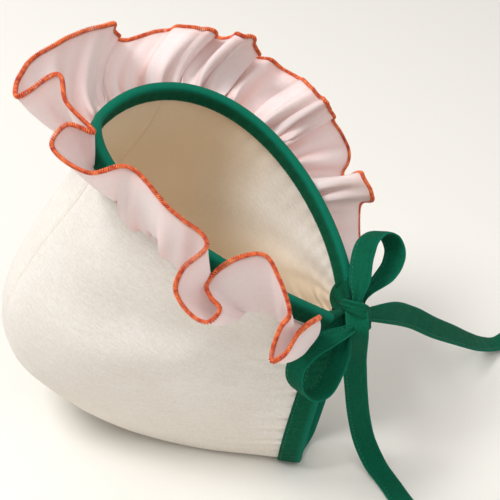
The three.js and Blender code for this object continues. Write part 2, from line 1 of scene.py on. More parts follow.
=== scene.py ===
"""A baby's sun bonnet, lying on its back with its ties in a bow.

The shapes are worked out in millimetres from the chin's own frame, as in the part's source, and are
put into the row frame, in metres, when a mesh is made.
"""

from __future__ import annotations

import logging
import math
from dataclasses import dataclass, field
from enum import Enum
from typing import Any, Callable, NamedTuple, Sequence

import bpy
import numpy as np
from mathutils import Matrix, Vector

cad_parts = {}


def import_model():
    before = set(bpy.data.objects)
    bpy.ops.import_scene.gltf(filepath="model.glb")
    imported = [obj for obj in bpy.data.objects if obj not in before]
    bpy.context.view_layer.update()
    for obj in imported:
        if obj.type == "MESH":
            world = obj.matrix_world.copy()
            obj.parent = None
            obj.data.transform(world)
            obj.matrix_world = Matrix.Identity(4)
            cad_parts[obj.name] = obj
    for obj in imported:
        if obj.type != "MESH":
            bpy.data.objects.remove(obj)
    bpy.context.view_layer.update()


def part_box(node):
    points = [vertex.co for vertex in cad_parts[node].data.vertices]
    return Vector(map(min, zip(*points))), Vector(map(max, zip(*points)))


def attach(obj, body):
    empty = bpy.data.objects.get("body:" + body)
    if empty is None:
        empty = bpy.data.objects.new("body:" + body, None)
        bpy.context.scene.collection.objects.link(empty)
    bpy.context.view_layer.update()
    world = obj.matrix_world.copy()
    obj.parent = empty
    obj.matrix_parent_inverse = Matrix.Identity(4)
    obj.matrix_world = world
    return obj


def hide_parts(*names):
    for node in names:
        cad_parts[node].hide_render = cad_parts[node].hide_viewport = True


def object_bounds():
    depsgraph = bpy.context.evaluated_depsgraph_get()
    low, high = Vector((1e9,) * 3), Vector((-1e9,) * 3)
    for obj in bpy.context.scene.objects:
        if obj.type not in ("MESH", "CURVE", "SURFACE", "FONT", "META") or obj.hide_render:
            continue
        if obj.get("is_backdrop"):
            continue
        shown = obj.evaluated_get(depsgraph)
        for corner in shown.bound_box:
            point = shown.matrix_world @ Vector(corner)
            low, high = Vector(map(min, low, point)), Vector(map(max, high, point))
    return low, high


log = logging.getLogger("bonnet")

MM = 0.001

# The crown as it lies, in millimetres.
CROWN_REACH = 150.0
FACE_TOP_HEIGHT = 168.0
CROWN_HALF_WIDTH = 54.0
CHIN_HEIGHT = 88.0
CHIN_OVERHANG = 25.0
CHIN_HALF_GAP = 6.0
REST_BLEND = 6.0
HOOP_TAPER = 0.8
FACE_BINDING_WIDTH = 8.0
NECK_BINDING_WIDTH = 10.5
RUFFLE_HEIGHT = 37.0
RUFFLE_STAND = 0.42
TIE_WIDTH = 10.5
CORNER = 0.075
PANEL_SEAM = 0.4
KNOT_LENGTH = 15.0
KNOT_RADIUS = 5.2
KNOT_CENTRE = np.array([29.0, 0.0, 90.5])
LOOP_LENGTH = 42.0
BOW_TURN = math.radians(23.5)
BOW_LEAN = math.radians(40.0)
RIGHT_TAIL_REACH = 130.0
FRONT_TAIL_REACH = 60.0
BINDING_ROOM = 1.3  # a binding's wall and its gap, which the neck edge keeps off the floor


class Edge(Enum):
    """The two bound edges of the crown."""

    FACE = "face"
    NECK = "neck"


class Hoop(NamedTuple):
    """One hoop of the crown, from the face edge to the neck edge."""

    way: float
    reach: float
    rise: float
    near: float
    far: float
    lift: float


HOOPS = (
    Hoop(0.0, 0.587, 1.0, 0.72, 0.93, 0.24),
    Hoop(0.1, 0.667, 0.85, 0.78, 1.02, 0.185),
    Hoop(0.25, 0.827, 0.64, 0.85, 1.07, 0.09),
    Hoop(0.42, 0.953, 0.415, 0.91, 1.07, 0.0),
    Hoop(0.55, 0.927, 0.215, 0.83, 1.0, 0.0),
    Hoop(0.68, 0.72, 0.025, 0.62, 0.83, 0.0),
    Hoop(0.84, 0.36, -0.08, 0.39, 0.59, 0.0),
    Hoop(1.0, -0.045, -0.03, 0.24, 0.24, 0.0),
)


class Turn(NamedTuple):
    """One turn of the ruffle's hem, as shares of the ruffle's height from its seam."""

    at: float
    slide: float
    out: float
    front: float


HEM_TURNS = (
    Turn(0.085, 0.1, 0.1, 0.15),
    Turn(0.09, 0.15, 0.25, 0.45),
    Turn(0.095, 0.5, 0.55, 0.55),
    Turn(0.1, 0.6, 0.7, 0.35),
    Turn(0.105, 0.65, 0.7, 0.2),
    Turn(0.11, 0.6, 0.6, 0.25),
    Turn(0.12, 0.5, 0.5, 0.45),
    Turn(0.13, 0.4, 0.5, 0.6),
    Turn(0.14, 0.4, 0.35, 0.7),
    Turn(0.155, 0.55, 0.1, 0.85),
    Turn(0.165, 0.7, 0.15, 0.7),
    Turn(0.173, 0.8, 0.3, 0.5),
    Turn(0.18, 0.75, 0.4, 0.35),
    Turn(0.185, 0.65, 0.6, 0.35),
    Turn(0.19, 0.5, 0.75, 0.35),
    Turn(0.195, 0.5, 0.85, 0.2),
    Turn(0.2, 0.6, 0.8, 0.15),
    Turn(0.21, 0.7, 0.7, 0.25),
    Turn(0.22, 0.6, 0.65, 0.45),
    Turn(0.23, 0.35, 0.5, 0.7),
    Turn(0.28, 0.2, 0.5, 0.75),
    Turn(0.325, 0.15, 0.5, 0.8),
    Turn(0.36, -0.15, 0.75, 0.6),
    Turn(0.385, 0.0, 0.8, 0.5),
    Turn(0.4, -0.15, 0.65, 0.7),
    Turn(0.41, -0.45, 0.4, 0.75),
    Turn(0.425, -0.2, 0.55, 0.75),
    Turn(0.44, 0.0, 0.6, 0.8),
    Turn(0.455, -0.25, 0.9, 0.4),
    Turn(0.47, 0.1, 0.9, 0.5),
    Turn(0.485, 0.2, 0.7, 0.75),
    Turn(0.515, 0.55, 0.5, 0.8),
    Turn(0.525, 0.75, 0.65, 0.35),
    Turn(0.54, 0.75, 0.65, 0.15),
    Turn(0.575, 0.65, 0.7, 0.3),
    Turn(0.615, 0.4, 0.5, 0.65),
    Turn(0.625, 0.5, 0.8, 0.2),
    Turn(0.65, 0.25, 0.45, 0.85),
    Turn(0.67, 0.3, 0.9, 0.2),
    Turn(0.7, 0.25, 0.95, 0.2),
    Turn(0.735, 0.3, 0.45, 0.75),
    Turn(0.75, 0.05, 0.95, 0.15),
    Turn(0.77, 0.2, 0.95, -0.05),
    Turn(0.785, 0.15, 0.85, -0.3),
    Turn(0.8, 0.45, 0.25, 0.75),
    Turn(0.815, 0.5, 0.25, 0.7),
    Turn(0.83, -0.1, 0.9, -0.25),
    Turn(0.865, -0.25, 0.85, -0.3),
    Turn(0.9, -0.2, 0.4, -0.1),
    Turn(0.915, 0.0, 0.15, 0.1),
)


class Pleat(NamedTuple):
    """A pleat of the ruffle, with its sizes in millimetres, and its shares at the seam and at the hem."""

    at: float
    width: float
    over: float
    rise: float
    drop: float
    root: float
    hem: float


PLEATS = (
    Pleat(0.145, 5.0, 2.0, 2.0, 0.0, 0.8, 0.1),
    Pleat(0.255, 3.5, 4.0, 3.0, 0.0, 1.0, 0.1),
    Pleat(0.285, 4.0, 4.0, -3.0, 0.0, 1.0, 0.0),
    Pleat(0.31, 4.0, 4.0, 3.0, 0.0, 1.0, 0.0),
    Pleat(0.34, 3.5, 4.0, -2.6, 0.0, 1.0, 0.0),
    Pleat(0.447, 4.0, 4.0, 2.6, 0.0, 1.0, 0.1),
    Pleat(0.465, 4.0, 4.0, -3.4, 0.0, 1.0, 0.1),
    Pleat(0.484, 5.0, 5.0, 3.4, 0.0, 1.0, 0.2),
    Pleat(0.503, 5.0, 5.0, -3.4, 0.0, 1.0, 0.2),
    Pleat(0.529, 5.0, 13.0, 4.0, 0.0, 1.0, 0.5),
    Pleat(0.556, 4.0, 4.0, 3.0, 0.0, 1.0, 0.1),
    Pleat(0.582, 4.5, 6.0, -4.0, 0.0, 1.0, 0.4),
    Pleat(0.603, 4.0, 6.0, 3.6, 0.0, 1.0, 0.3),
    Pleat(0.624, 4.5, 10.0, -4.5, 0.0, 1.0, 0.5),
    Pleat(0.644, 3.5, 6.0, 4.0, 0.0, 1.0, 0.4),
    Pleat(0.662, 5.0, 16.0, 6.0, 4.0, 0.9, 0.8),
    Pleat(0.677, 5.0, 6.0, -4.5, 0.0, 1.0, 0.5),
    Pleat(0.69, 5.0, 6.0, 4.0, 0.0, 1.0, 0.5),
    Pleat(0.709, 5.0, 6.0, -4.0, 0.0, 1.0, 0.3),
    Pleat(0.724, 4.0, 7.0, 5.0, 0.0, 1.0, 0.5),
    Pleat(0.742, 5.0, 12.0, -6.0, 0.0, 1.0, 0.35),
    Pleat(0.755, 4.5, 9.0, 5.5, 0.0, 1.0, 0.5),
    Pleat(0.77, 4.5, 6.0, -3.6, 0.0, 1.0, 0.3),
    Pleat(0.781, 4.0, 5.0, 3.4, 0.0, 1.0, 0.2),
    Pleat(0.806, 4.0, 4.0, 2.6, 0.0, 1.0, 0.2),
    Pleat(0.845, 6.0, 3.0, 2.6, 0.0, 1.0, 0.1),
)


class LoopStop(NamedTuple):
    """A place along a bow loop: from the knot's middle, and which way the ribbon's width lies."""

    right: float
    up: float
    toward: float
    wide_right: float
    wide_up: float
    wide_toward: float
    pinch: float


UPPER_LOOP = (
    LoopStop(0.02, 0.2, 0.08, 0.9, 0.0, 0.4, 0.5),
    LoopStop(0.05, 0.37, 0.05, 0.95, -0.1, 0.3, 0.95),
    LoopStop(0.1, 0.62, -0.05, 0.95, -0.1, 0.35, 1.0),
    LoopStop(0.18, 0.8, -0.12, 0.9, -0.1, 0.45, 1.0),
    LoopStop(0.32, 0.89, -0.25, 0.85, -0.1, 0.5, 1.0),
    LoopStop(0.44, 0.85, -0.36, 0.85, -0.15, 0.5, 1.0),
    LoopStop(0.5, 0.72, -0.4, 0.8, -0.2, 0.5, 1.0),
    LoopStop(0.47, 0.57, -0.36, 0.8, -0.3, 0.5, 1.0),
    LoopStop(0.36, 0.42, -0.28, 0.75, -0.4, 0.5, 0.95),
    LoopStop(0.11, 0.22, -0.1, 0.8, -0.3, 0.5, 0.45),
)
LOWER_LOOP = (
    LoopStop(-0.07, -0.12, 0.165, 0.4, -0.7, 0.45, 0.45),
    LoopStop(-0.32, -0.22, 0.33, 0.45, -0.65, 0.5, 0.9),
    LoopStop(-0.53, -0.34, 0.4, 0.5, -0.55, 0.55, 1.0),
    LoopStop(-0.66, -0.5, 0.38, 0.6, -0.45, 0.6, 1.0),
    LoopStop(-0.66, -0.67, 0.31, 0.6, -0.45, 0.6, 1.0),
    LoopStop(-0.54, -0.78, 0.23, 0.6, -0.45, 0.6, 1.0),
    LoopStop(-0.39, -0.74, 0.17, 0.65, -0.4, 0.6, 1.0),
    LoopStop(-0.27, -0.56, 0.13, 0.75, -0.35, 0.55, 1.0),
    LoopStop(-0.18, -0.38, 0.1, 0.8, -0.3, 0.45, 0.9),
    LoopStop(-0.1, -0.21, 0.06, 0.9, -0.3, 0.3, 0.45),
)


class TailStop(NamedTuple):
    """A place along a loose end: across is its width's heading and edge its stand, in degrees."""

    forward: float
    aside: float
    rise: float
    across: float
    edge: float
    pinch: float


RIGHT_TAIL = (
    TailStop(0.015, 0.037, 0.975, -24, 90, 0.6),
    TailStop(0.075, 0.16, 0.885, -24, 94, 1.0),
    TailStop(0.13, 0.295, 0.73, -24, 100, 1.0),
    TailStop(0.19, 0.42, 0.55, -24, 108, 1.0),
    TailStop(0.25, 0.56, 0.365, -24, 120, 1.0),
    TailStop(0.315, 0.7, 0.18, -24, 138, 1.0),
    TailStop(0.36, 0.81, 0.06, -24, 160, 1.0),
    TailStop(0.4, 0.89, 0.0, -24, 180, 1.0),
    TailStop(0.445, 0.98, 0.0, -24, 180, 1.0),
)
FRONT_TAIL = (
    TailStop(0.02, 0.0, 0.72, 18, 0, 1.0),
    TailStop(0.04, 0.02, 0.52, 16, 0, 1.0),
    TailStop(0.07, 0.045, 0.33, 20, 0, 1.0),
    TailStop(0.13, 0.06, 0.15, 26, 0, 1.0),
    TailStop(0.24, 0.02, 0.035, 34, 0, 1.0),
    TailStop(0.36, -0.07, 0.0, 42, 0, 1.0),
    TailStop(0.5, -0.21, 0.0, 46, 0, 1.0),
    TailStop(0.67, -0.37, 0.0, 47, 0, 1.0),
    TailStop(0.8, -0.5, 0.0, 47, 0, 1.0),
)


class KnotStop(NamedTuple):
    """A place where a loose end starts, in millimetres from the knot's middle."""

    up: float
    toward: float


RIGHT_TAIL_START = (KnotStop(-1.5, 0.0),)
FRONT_TAIL_START = (KnotStop(2.6, 4.6), KnotStop(-2.4, 6.3), KnotStop(-6.5, 5.6))


class Crease(NamedTuple):
    """A soft dent or ridge in the crown's cloth: its place, its spread, its slant and its height."""

    way: float
    at: float
    spread_way: float
    spread_at: float
    slant: float
    height: float


CREASES = (
    Crease(0.28, 0.27, 0.1, 0.045, 0.5, -2.6),
    Crease(0.42, 0.37, 0.16, 0.03, 0.3, 1.6),
    Crease(0.3, 0.16, 0.12, 0.016, 0.0, -1.8),
    Crease(0.42, 0.2, 0.16, 0.018, -0.3, 1.5),
    Crease(0.55, 0.15, 0.14, 0.02, -0.2, -1.6),
    Crease(0.6, 0.26, 0.1, 0.03, 0.4, -1.3),
    Crease(0.7, 0.19, 0.08, 0.02, 0.3, 1.1),
    Crease(0.5, 0.31, 0.12, 0.022, 0.5, -1.2),
    Crease(0.4, 0.66, 0.14, 0.03, 0.2, -1.6),
    Crease(0.62, 0.74, 0.14, 0.03, -0.3, 1.3),
    Crease(0.5, 0.84, 0.16, 0.02, 0.2, -1.4),
    Crease(0.35, 0.5, 0.12, 0.05, 0.1, -1.2),
)


def unit(vectors: np.ndarray) -> np.ndarray:
    """Returns the vectors at a length of one."""
    return vectors / np.maximum(np.linalg.norm(vectors, axis=-1, keepdims=True), 1e-12)


def ease(low: float, high: float, value: np.ndarray) -> np.ndarray:
    """Returns a smooth step from 0 at low to 1 at high."""
    share = np.clip((np.asarray(value, float) - low) / (high - low), 0, 1)
    return share * share * (3 - 2 * share)


def through(places: np.ndarray, values: np.ndarray, at: np.ndarray) -> np.ndarray:
    """Runs a smooth curve through one column of a table.

    Args:
        places: The table's rising places.
        values: The column's values at them.
        at: Where the curve is read.

    Returns:
        The curve's values.
    """
    last = len(places) - 1
    before = np.maximum(np.arange(last + 1) - 1, 0)
    after = np.minimum(np.arange(last + 1) + 1, last)
    slopes = (values[after] - values[before]) / (places[after] - places[before])
    i = np.clip(np.searchsorted(places, at, side="left") - 1, 0, last - 1)
    step = places[i + 1] - places[i]
    t = (at - places[i]) / step
    return (
        (1 + 2 * t) * (1 - t) ** 2 * values[i]
        + t * (1 - t) ** 2 * step * slopes[i]
        + t * t * (3 - 2 * t) * values[i + 1]
        + t * t * (t - 1) * step * slopes[i + 1]
    )


def centripetal(points: np.ndarray, share: np.ndarray) -> np.ndarray:
    """Runs a centripetal spline through points.

    Args:
        points: The stops, one a row.
        share: Shares of the way along, counted in stops.

    Returns:
        The spline's points, one a row.
    """
    first = 2 * points[0] - points[1]
    final = 2 * points[-1] - points[-2]
    stops = np.vstack([first, points, final])
    place = np.clip(share, 0, 1) * (len(points) - 1)
    i = np.minimum(place.astype(int), len(points) - 2)
    t = (place - i)[:, None]
    p0, p1, p2, p3 = (stops[i + k] for k in range(4))
    gaps = [np.linalg.norm(b - a, axis=1, keepdims=True) ** 0.5 for a, b in ((p0, p1), (p1, p2), (p2, p3))]
    middle = np.where(gaps[1] < 1e-4, 1.0, gaps[1])
    start = np.where(gaps[0] < 1e-4, middle, gaps[0])
    end = np.where(gaps[2] < 1e-4, middle, gaps[2])
    leave = ((p1 - p0) / start - (p2 - p0) / (start + middle) + (p2 - p1) / middle) * middle
    reach = ((p2 - p1) / middle - (p3 - p1) / (middle + end) + (p3 - p2) / end) * middle
    curve = p1 + leave * t + (-3 * p1 + 3 * p2 - 2 * leave - reach) * t**2
    return curve + (2 * p1 - 2 * p2 + leave + reach) * t**3


def averaged(values: np.ndarray, span: int) -> np.ndarray:
    """Returns each row averaged with as many rows as the span on both its sides."""
    padded = np.pad(values, ((span, span), *((0, 0),) * (values.ndim - 1)), mode="edge")
    total = np.cumsum(np.concatenate([np.zeros((1, *padded.shape[1:])), padded]), axis=0)
    return (total[2 * span + 1 :] - total[: -2 * span - 1]) / (2 * span + 1)


def bell(value: np.ndarray) -> np.ndarray:
    """Returns a soft bump that is 1 at zero."""
    return np.exp(-(value**2))


def wavy(at: np.ndarray, pace: float, sway: float, slow: float) -> np.ndarray:
    """Returns waves whose pace sways slowly, as gathers do."""
    return np.sin(at * pace + sway * np.sin(at * slow))


def panel_seams(at: np.ndarray, width: float) -> np.ndarray:
    """Returns 1 on the crown's two long seams and 0 away from them."""
    return sum(bell((at - place) / width) for place in (PANEL_SEAM, 1 - PANEL_SEAM))


def teardrop(turn: np.ndarray) -> np.ndarray:
    """Returns how wide a hoop is at a turn from 0 at the chin to 1 at the crown's middle."""
    return np.sin(np.pi * turn) * np.abs(np.sin(np.pi * turn / 2)) ** HOOP_TAPER


WIDEST = float(teardrop(np.array(2 / math.pi * math.atan(math.sqrt(1 + HOOP_TAPER)))))


@dataclass
class Hood:
    """The surface that every cloth piece is worked out from: hoops that fan out from the chin."""

    ways: np.ndarray = field(default_factory=lambda: np.array([hoop.way for hoop in HOOPS]))

    def column(self, name: str, way: np.ndarray) -> np.ndarray:
        """Returns one column of the hoops' table at the ways."""
        return through(self.ways, np.array([getattr(hoop, name) for hoop in HOOPS]), way)

    def point(self, way: Any, at: Any) -> np.ndarray:
        """Finds points on the crown's outer surface.

        Args:
            way: From 0 at the face edge to 1 at the neck edge.
            at: From 0 at the near chin corner to 1 at the far one.

        Returns:
            The points, in millimetres.
        """
        way, at = np.broadcast_arrays(np.asarray(way, float), np.asarray(at, float))
        turn = 1 - np.abs(2 * at - 1)
        chin = np.array([CHIN_OVERHANG, 0.0, CHIN_HEIGHT])
        back = np.stack(
            [
                -CROWN_REACH * self.column("reach", way),
                np.zeros_like(way),
                FACE_TOP_HEIGHT * self.column("rise", way),
            ],
            axis=-1,
        )
        outward = np.stack([chin[2] - back[..., 2], np.zeros_like(way), back[..., 0] - chin[0]], axis=-1)
        outward = unit(outward) * np.where(outward[..., 2:] < 0, -1.0, 1.0)
        side = np.where(at < 0.5, self.column("near", way), self.column("far", way)) * CROWN_HALF_WIDTH
        lift = self.column("lift", way) * CROWN_HALF_WIDTH
        point = chin + (back - chin) * ((1 - np.cos(np.pi * turn)) / 2)[..., None]
        point = point + outward * (lift * np.sin(np.pi * turn))[..., None]
        gap = CHIN_HALF_GAP * np.cos(np.pi * turn / 2) ** 2
        point[..., 1] = np.sign(at - 0.5) * (side * teardrop(turn) / WIDEST + gap)
        point[..., 2] = self.rested(point[..., 2], way)
        return point

    @staticmethod
    def rested(height: np.ndarray, way: np.ndarray) -> np.ndarray:
        """Returns heights kept on the surface that the bonnet lies on."""
        floor = BINDING_ROOM * ease(0.84, 0.95, way)
        over = height - floor
        soft = floor + (over + REST_BLEND) ** 2 / (4 * REST_BLEND)
        return np.where(over > REST_BLEND, height, np.where(over < -REST_BLEND, floor, soft))

    def place(self, way: Any, at: Any) -> tuple[np.ndarray, np.ndarray, np.ndarray, np.ndarray]:
        """Finds points with their directions.

        Args:
            way: From the face edge to the neck edge.
            at: The way round.

        Returns:
            The points, and unit vectors along the face edge, out of the crown and to the face.
        """
        step = 0.002
        way, at = np.broadcast_arrays(np.asarray(way, float), np.asarray(at, float))
        along = unit(self.point(way, at + step) - self.point(way, at - step))
        front = self.point(np.maximum(way - step, 0), at) - self.point(np.minimum(way + step, 1), at)
        out = unit(np.cross(front, along))
        return self.point(way, at), along, out, unit(np.cross(along, out))

    def crossings(self, at: np.ndarray) -> Crossings:
        """Returns the lines across the crown at the shares of the way round."""
        ways = np.linspace(0, 1, 241)
        points = self.point(ways[None, :], at[:, None])
        paces = np.linalg.norm(np.diff(points, axis=1), axis=-1)
        walked = np.concatenate([np.zeros((len(at), 1)), np.cumsum(paces, axis=1)], axis=1)
        return Crossings(at, ways, walked)


@dataclass
class Crossings:
    """Lines across the crown, which find a way from a distance in millimetres."""

    at: np.ndarray
    ways: np.ndarray
    walked: np.ndarray

    @property
    def length(self) -> np.ndarray:
        """Each line's length."""
        return self.walked[:, -1]

    @property
    def face_flange(self) -> np.ndarray:
        """How far the face binding reaches in on each line."""
        return np.minimum(FACE_BINDING_WIDTH, 0.4 * self.length)

    @property
    def neck_flange(self) -> np.ndarray:
        """How far the neck binding reaches in on each line."""
        return np.minimum(NECK_BINDING_WIDTH, 0.44 * self.length)

    def way_after(self, distances: np.ndarray) -> np.ndarray:
        """Returns the ways at the distances, one row of distances for each line."""
        return np.stack([np.interp(row, line, self.ways) for row, line in zip(distances, self.walked)])


class Socket:
    """A node's output as a number in a sum, so that shader maths reads as Python."""

    def __init__(self, tree: NodeTree, output: Any) -> None:
        """Keeps the socket and the tree that it is in."""
        self.tree, self.output = tree, output

    def _maths(self, operation: str, first: Any, second: Any) -> Socket:
        """Returns a Math node's result."""
        return self.tree.add("ShaderNodeMath", {"operation": operation}, {0: first, 1: second})

    def __add__(self, other: Any) -> Socket:
        """Adds."""
        return self._maths("ADD", self, other)

    def __sub__(self, other: Any) -> Socket:
        """Takes away."""
        return self._maths("SUBTRACT", self, other)

    def __mul__(self, other: Any) -> Socket:
        """Multiplies."""
        return self._maths("MULTIPLY", self, other)


class NodeTree:
    """A shader or geometry tree whose nodes are added with their settings and inputs."""

    def __init__(self, tree: Any) -> None:
        """Empties the tree."""
        self.tree = tree
        tree.nodes.clear()

    def add(
        self,
        kind: str,
        settings: dict[str, Any] | None = None,
        inputs: dict[Any, Any] | None = None,
        out: Any = 0,
    ) -> Socket:
        """Adds a node.

        Args:
            kind: The node's type.
            settings: Its own settings, or a ramp's stops under "stops".
            inputs: Values or sockets for its inputs, by name or number.
            out: The output that is given back.

        Returns:
            The output, wrapped.
        """
        node = self.tree.nodes.new(kind)
        for name, value in (settings or {}).items():
            if name == "stops":
                for index, (place, colour) in enumerate(value):
                    stops = node.color_ramp.elements
                    stop = stops[index] if index < 2 else stops.new(place)
                    stop.position, stop.color = place, (*colour, 1.0)
            else:
                setattr(node, name, value)
        for name, value in (inputs or {}).items():
            if isinstance(value, Socket):
                self.tree.links.new(value.output, node.inputs[name])
            else:
                node.inputs[name].default_value = value
        return Socket(self, node.outputs[out] if node.outputs else node)

    def blend(self, share: Any, first: Any, second: Any) -> Socket:
        """Returns a colour between two colours."""
        one, two = (value if isinstance(value, Socket) else (*value, 1.0) for value in (first, second))
        return self.add("ShaderNodeMix", {"data_type": "RGBA"}, {0: share, 6: one, 7: two}, out=2)


def new_material(name: str) -> tuple[Any, NodeTree]:
    """Returns a material with its emptied tree."""
    material = bpy.data.materials.new(name)
    material.use_nodes = True
    return material, NodeTree(material.node_tree)


def shown(name: str, data: Any) -> Any:
    """Returns a new object in the scene."""
    piece = bpy.data.objects.new(name, data)
    bpy.context.scene.collection.objects.link(piece)
    return piece


Colour = tuple[float, float, float]


BAND_SCALE = 0.314  # gives the wave texture one band for each millimetre of cloth


@dataclass(frozen=True)
class Cotton:
    """A woven cotton: its colours, how much light comes through and how coarse its weave is."""

    name: str
    lit: Colour
    deep: Colour
    tint: Colour
    glow: Colour
    through: float
    roughness: float = 0.85
    sheen: float = 0.15
    shine: float = 0.2
    weave_pitch: float = 0.55
    weave: float = 0.12
    crumple: float = 0.25
    crumple_scale: float = 60.0

    def material(self) -> Any:
        """Returns the cotton's material. A per-vertex attribute leads from its lit colour to its tint; it carries
        painted shade and painted highlights as well as plain tint.
        """
        material, tree = new_material(self.name)
        place = tree.add("ShaderNodeTexCoord", out="Object")
        cloth = tree.add("ShaderNodeUVMap", {"uv_map": "cloth"})
        cloud = tree.add("ShaderNodeTexNoise", {}, {"Vector": place, "Scale": 45.0, "Detail": 3.0})
        long = tree.add("ShaderNodeVectorMath", {"operation": "MULTIPLY"}, {0: cloth, 1: (0.12, 1.4, 1.0)})
        slub = tree.add("ShaderNodeTexNoise", {}, {"Vector": long, "Scale": 1.0, "Detail": 2.0})
        thread = tree.add("ShaderNodeTexNoise", {}, {"Vector": place, "Scale": 900.0, "Detail": 2.0})
        tone = tree.add("ShaderNodeAttribute", {"attribute_name": "tone"}, out="Fac")
        base = tree.blend(cloud * 0.6 + thread * 1.6 + slub * 1.4 - 1.4, self.lit, self.deep)
        # Painted shade and painted highlights: the per-vertex share blends the colour toward the tint.
        base = tree.blend(tone, base, self.tint)
        warp, weft = (
            tree.add(
                "ShaderNodeTexWave",
                {"wave_type": "BANDS", "bands_direction": way},
                {"Vector": cloth, "Scale": BAND_SCALE / self.weave_pitch},
                out="Fac",
            )
            for way in ("X", "Y")
        )
        height = warp * weft * 0.6 + thread + slub
        fine = tree.add("ShaderNodeBump", {}, {"Strength": self.weave, "Distance": 0.0003, "Height": height})
        rumple = tree.add("ShaderNodeTexNoise", {}, {"Vector": place, "Scale": self.crumple_scale, "Detail": 4.0})
        bump = tree.add(
            "ShaderNodeBump", {}, {"Strength": self.crumple, "Distance": 0.002, "Height": rumple, "Normal": fine}
        )
        body = tree.add(
            "ShaderNodeBsdfPrincipled",
            {},
            {
                "Base Color": base,
                "Roughness": self.roughness,
                "Normal": bump,
                "Sheen Weight": self.sheen,
                "Sheen Roughness": 0.5,
                "Specular IOR Level": self.shine,
            },
        )
        if self.through:
            light = tree.add("ShaderNodeBsdfTranslucent", {}, {"Color": (*self.glow, 1.0), "Normal": bump})
            body = tree.add("ShaderNodeMixShader", {}, {0: self.through, 1: body, 2: light})
        tree.add("ShaderNodeOutputMaterial", {}, {"Surface": body})
        return material


@dataclass(frozen=True)
class Thread:
    """Spun thread: its colours along the wraps."""

    name: str
    lit: Colour
    deep: Colour
    roughness: float = 0.6

    def material(self) -> Any:
        """Returns the thread's material."""
        material, tree = new_material(self.name)
        place = tree.add("ShaderNodeTexCoord", out="Object")
        cloud = tree.add("ShaderNodeTexNoise", {}, {"Vector": place, "Scale": 480.0, "Detail": 3.0})
        base = tree.blend(cloud * 2.6 - 0.8, self.lit, self.deep)
        body = tree.add(
            "ShaderNodeBsdfPrincipled",
            {},
            {"Base Color": base, "Roughness": self.roughness, "Sheen Weight": 0.1, "Specular IOR Level": 0.35},
        )
        tree.add("ShaderNodeOutputMaterial", {}, {"Surface": body})
        return material


# Its tint is the warm tan of painted shade inside the crown and low on its outside.
CREAM_COTTON = Cotton(
    "cream_cotton", (0.94, 0.93, 0.905), (0.8, 0.765, 0.7), (1.0, 0.82, 0.6), (0.97, 0.83, 0.64), 0.2
)
# Its tint is the deeper pink used for painted shade in the ruffle's gathers and pleats and for a band along its
# hem.
BLUSH_COTTON = Cotton(
    "blush_cotton",
    (0.95, 0.9, 0.9),
    (0.93, 0.83, 0.83),
    (0.88, 0.42, 0.34),
    (1.0, 0.84, 0.81),
    0.32,
    weave_pitch=0.4,
    weave=0.08,
    crumple=0.2,
    crumple_scale=90.0,
)
# Its tint is the brighter green of painted highlights on folded edges; the knot and leads take a little of it
# evenly.
GREEN_COTTON = Cotton(
    "green_cotton",
    (0.002, 0.1, 0.05),
    (0.001, 0.058, 0.027),
    (0.004, 0.19, 0.12),
    (0.05, 0.3, 0.15),
    0.0,
    shine=0.08,
    sheen=0.02,
    weave=0.3,
    crumple=0.3,
    crumple_scale=120.0,
)
HEM_THREAD = Thread("hem_thread", (0.98, 0.26, 0.075), (0.5, 0.025, 0.008))
GREEN_THREAD = Thread("green_thread", (0.004, 0.15, 0.075), (0.002, 0.085, 0.042))


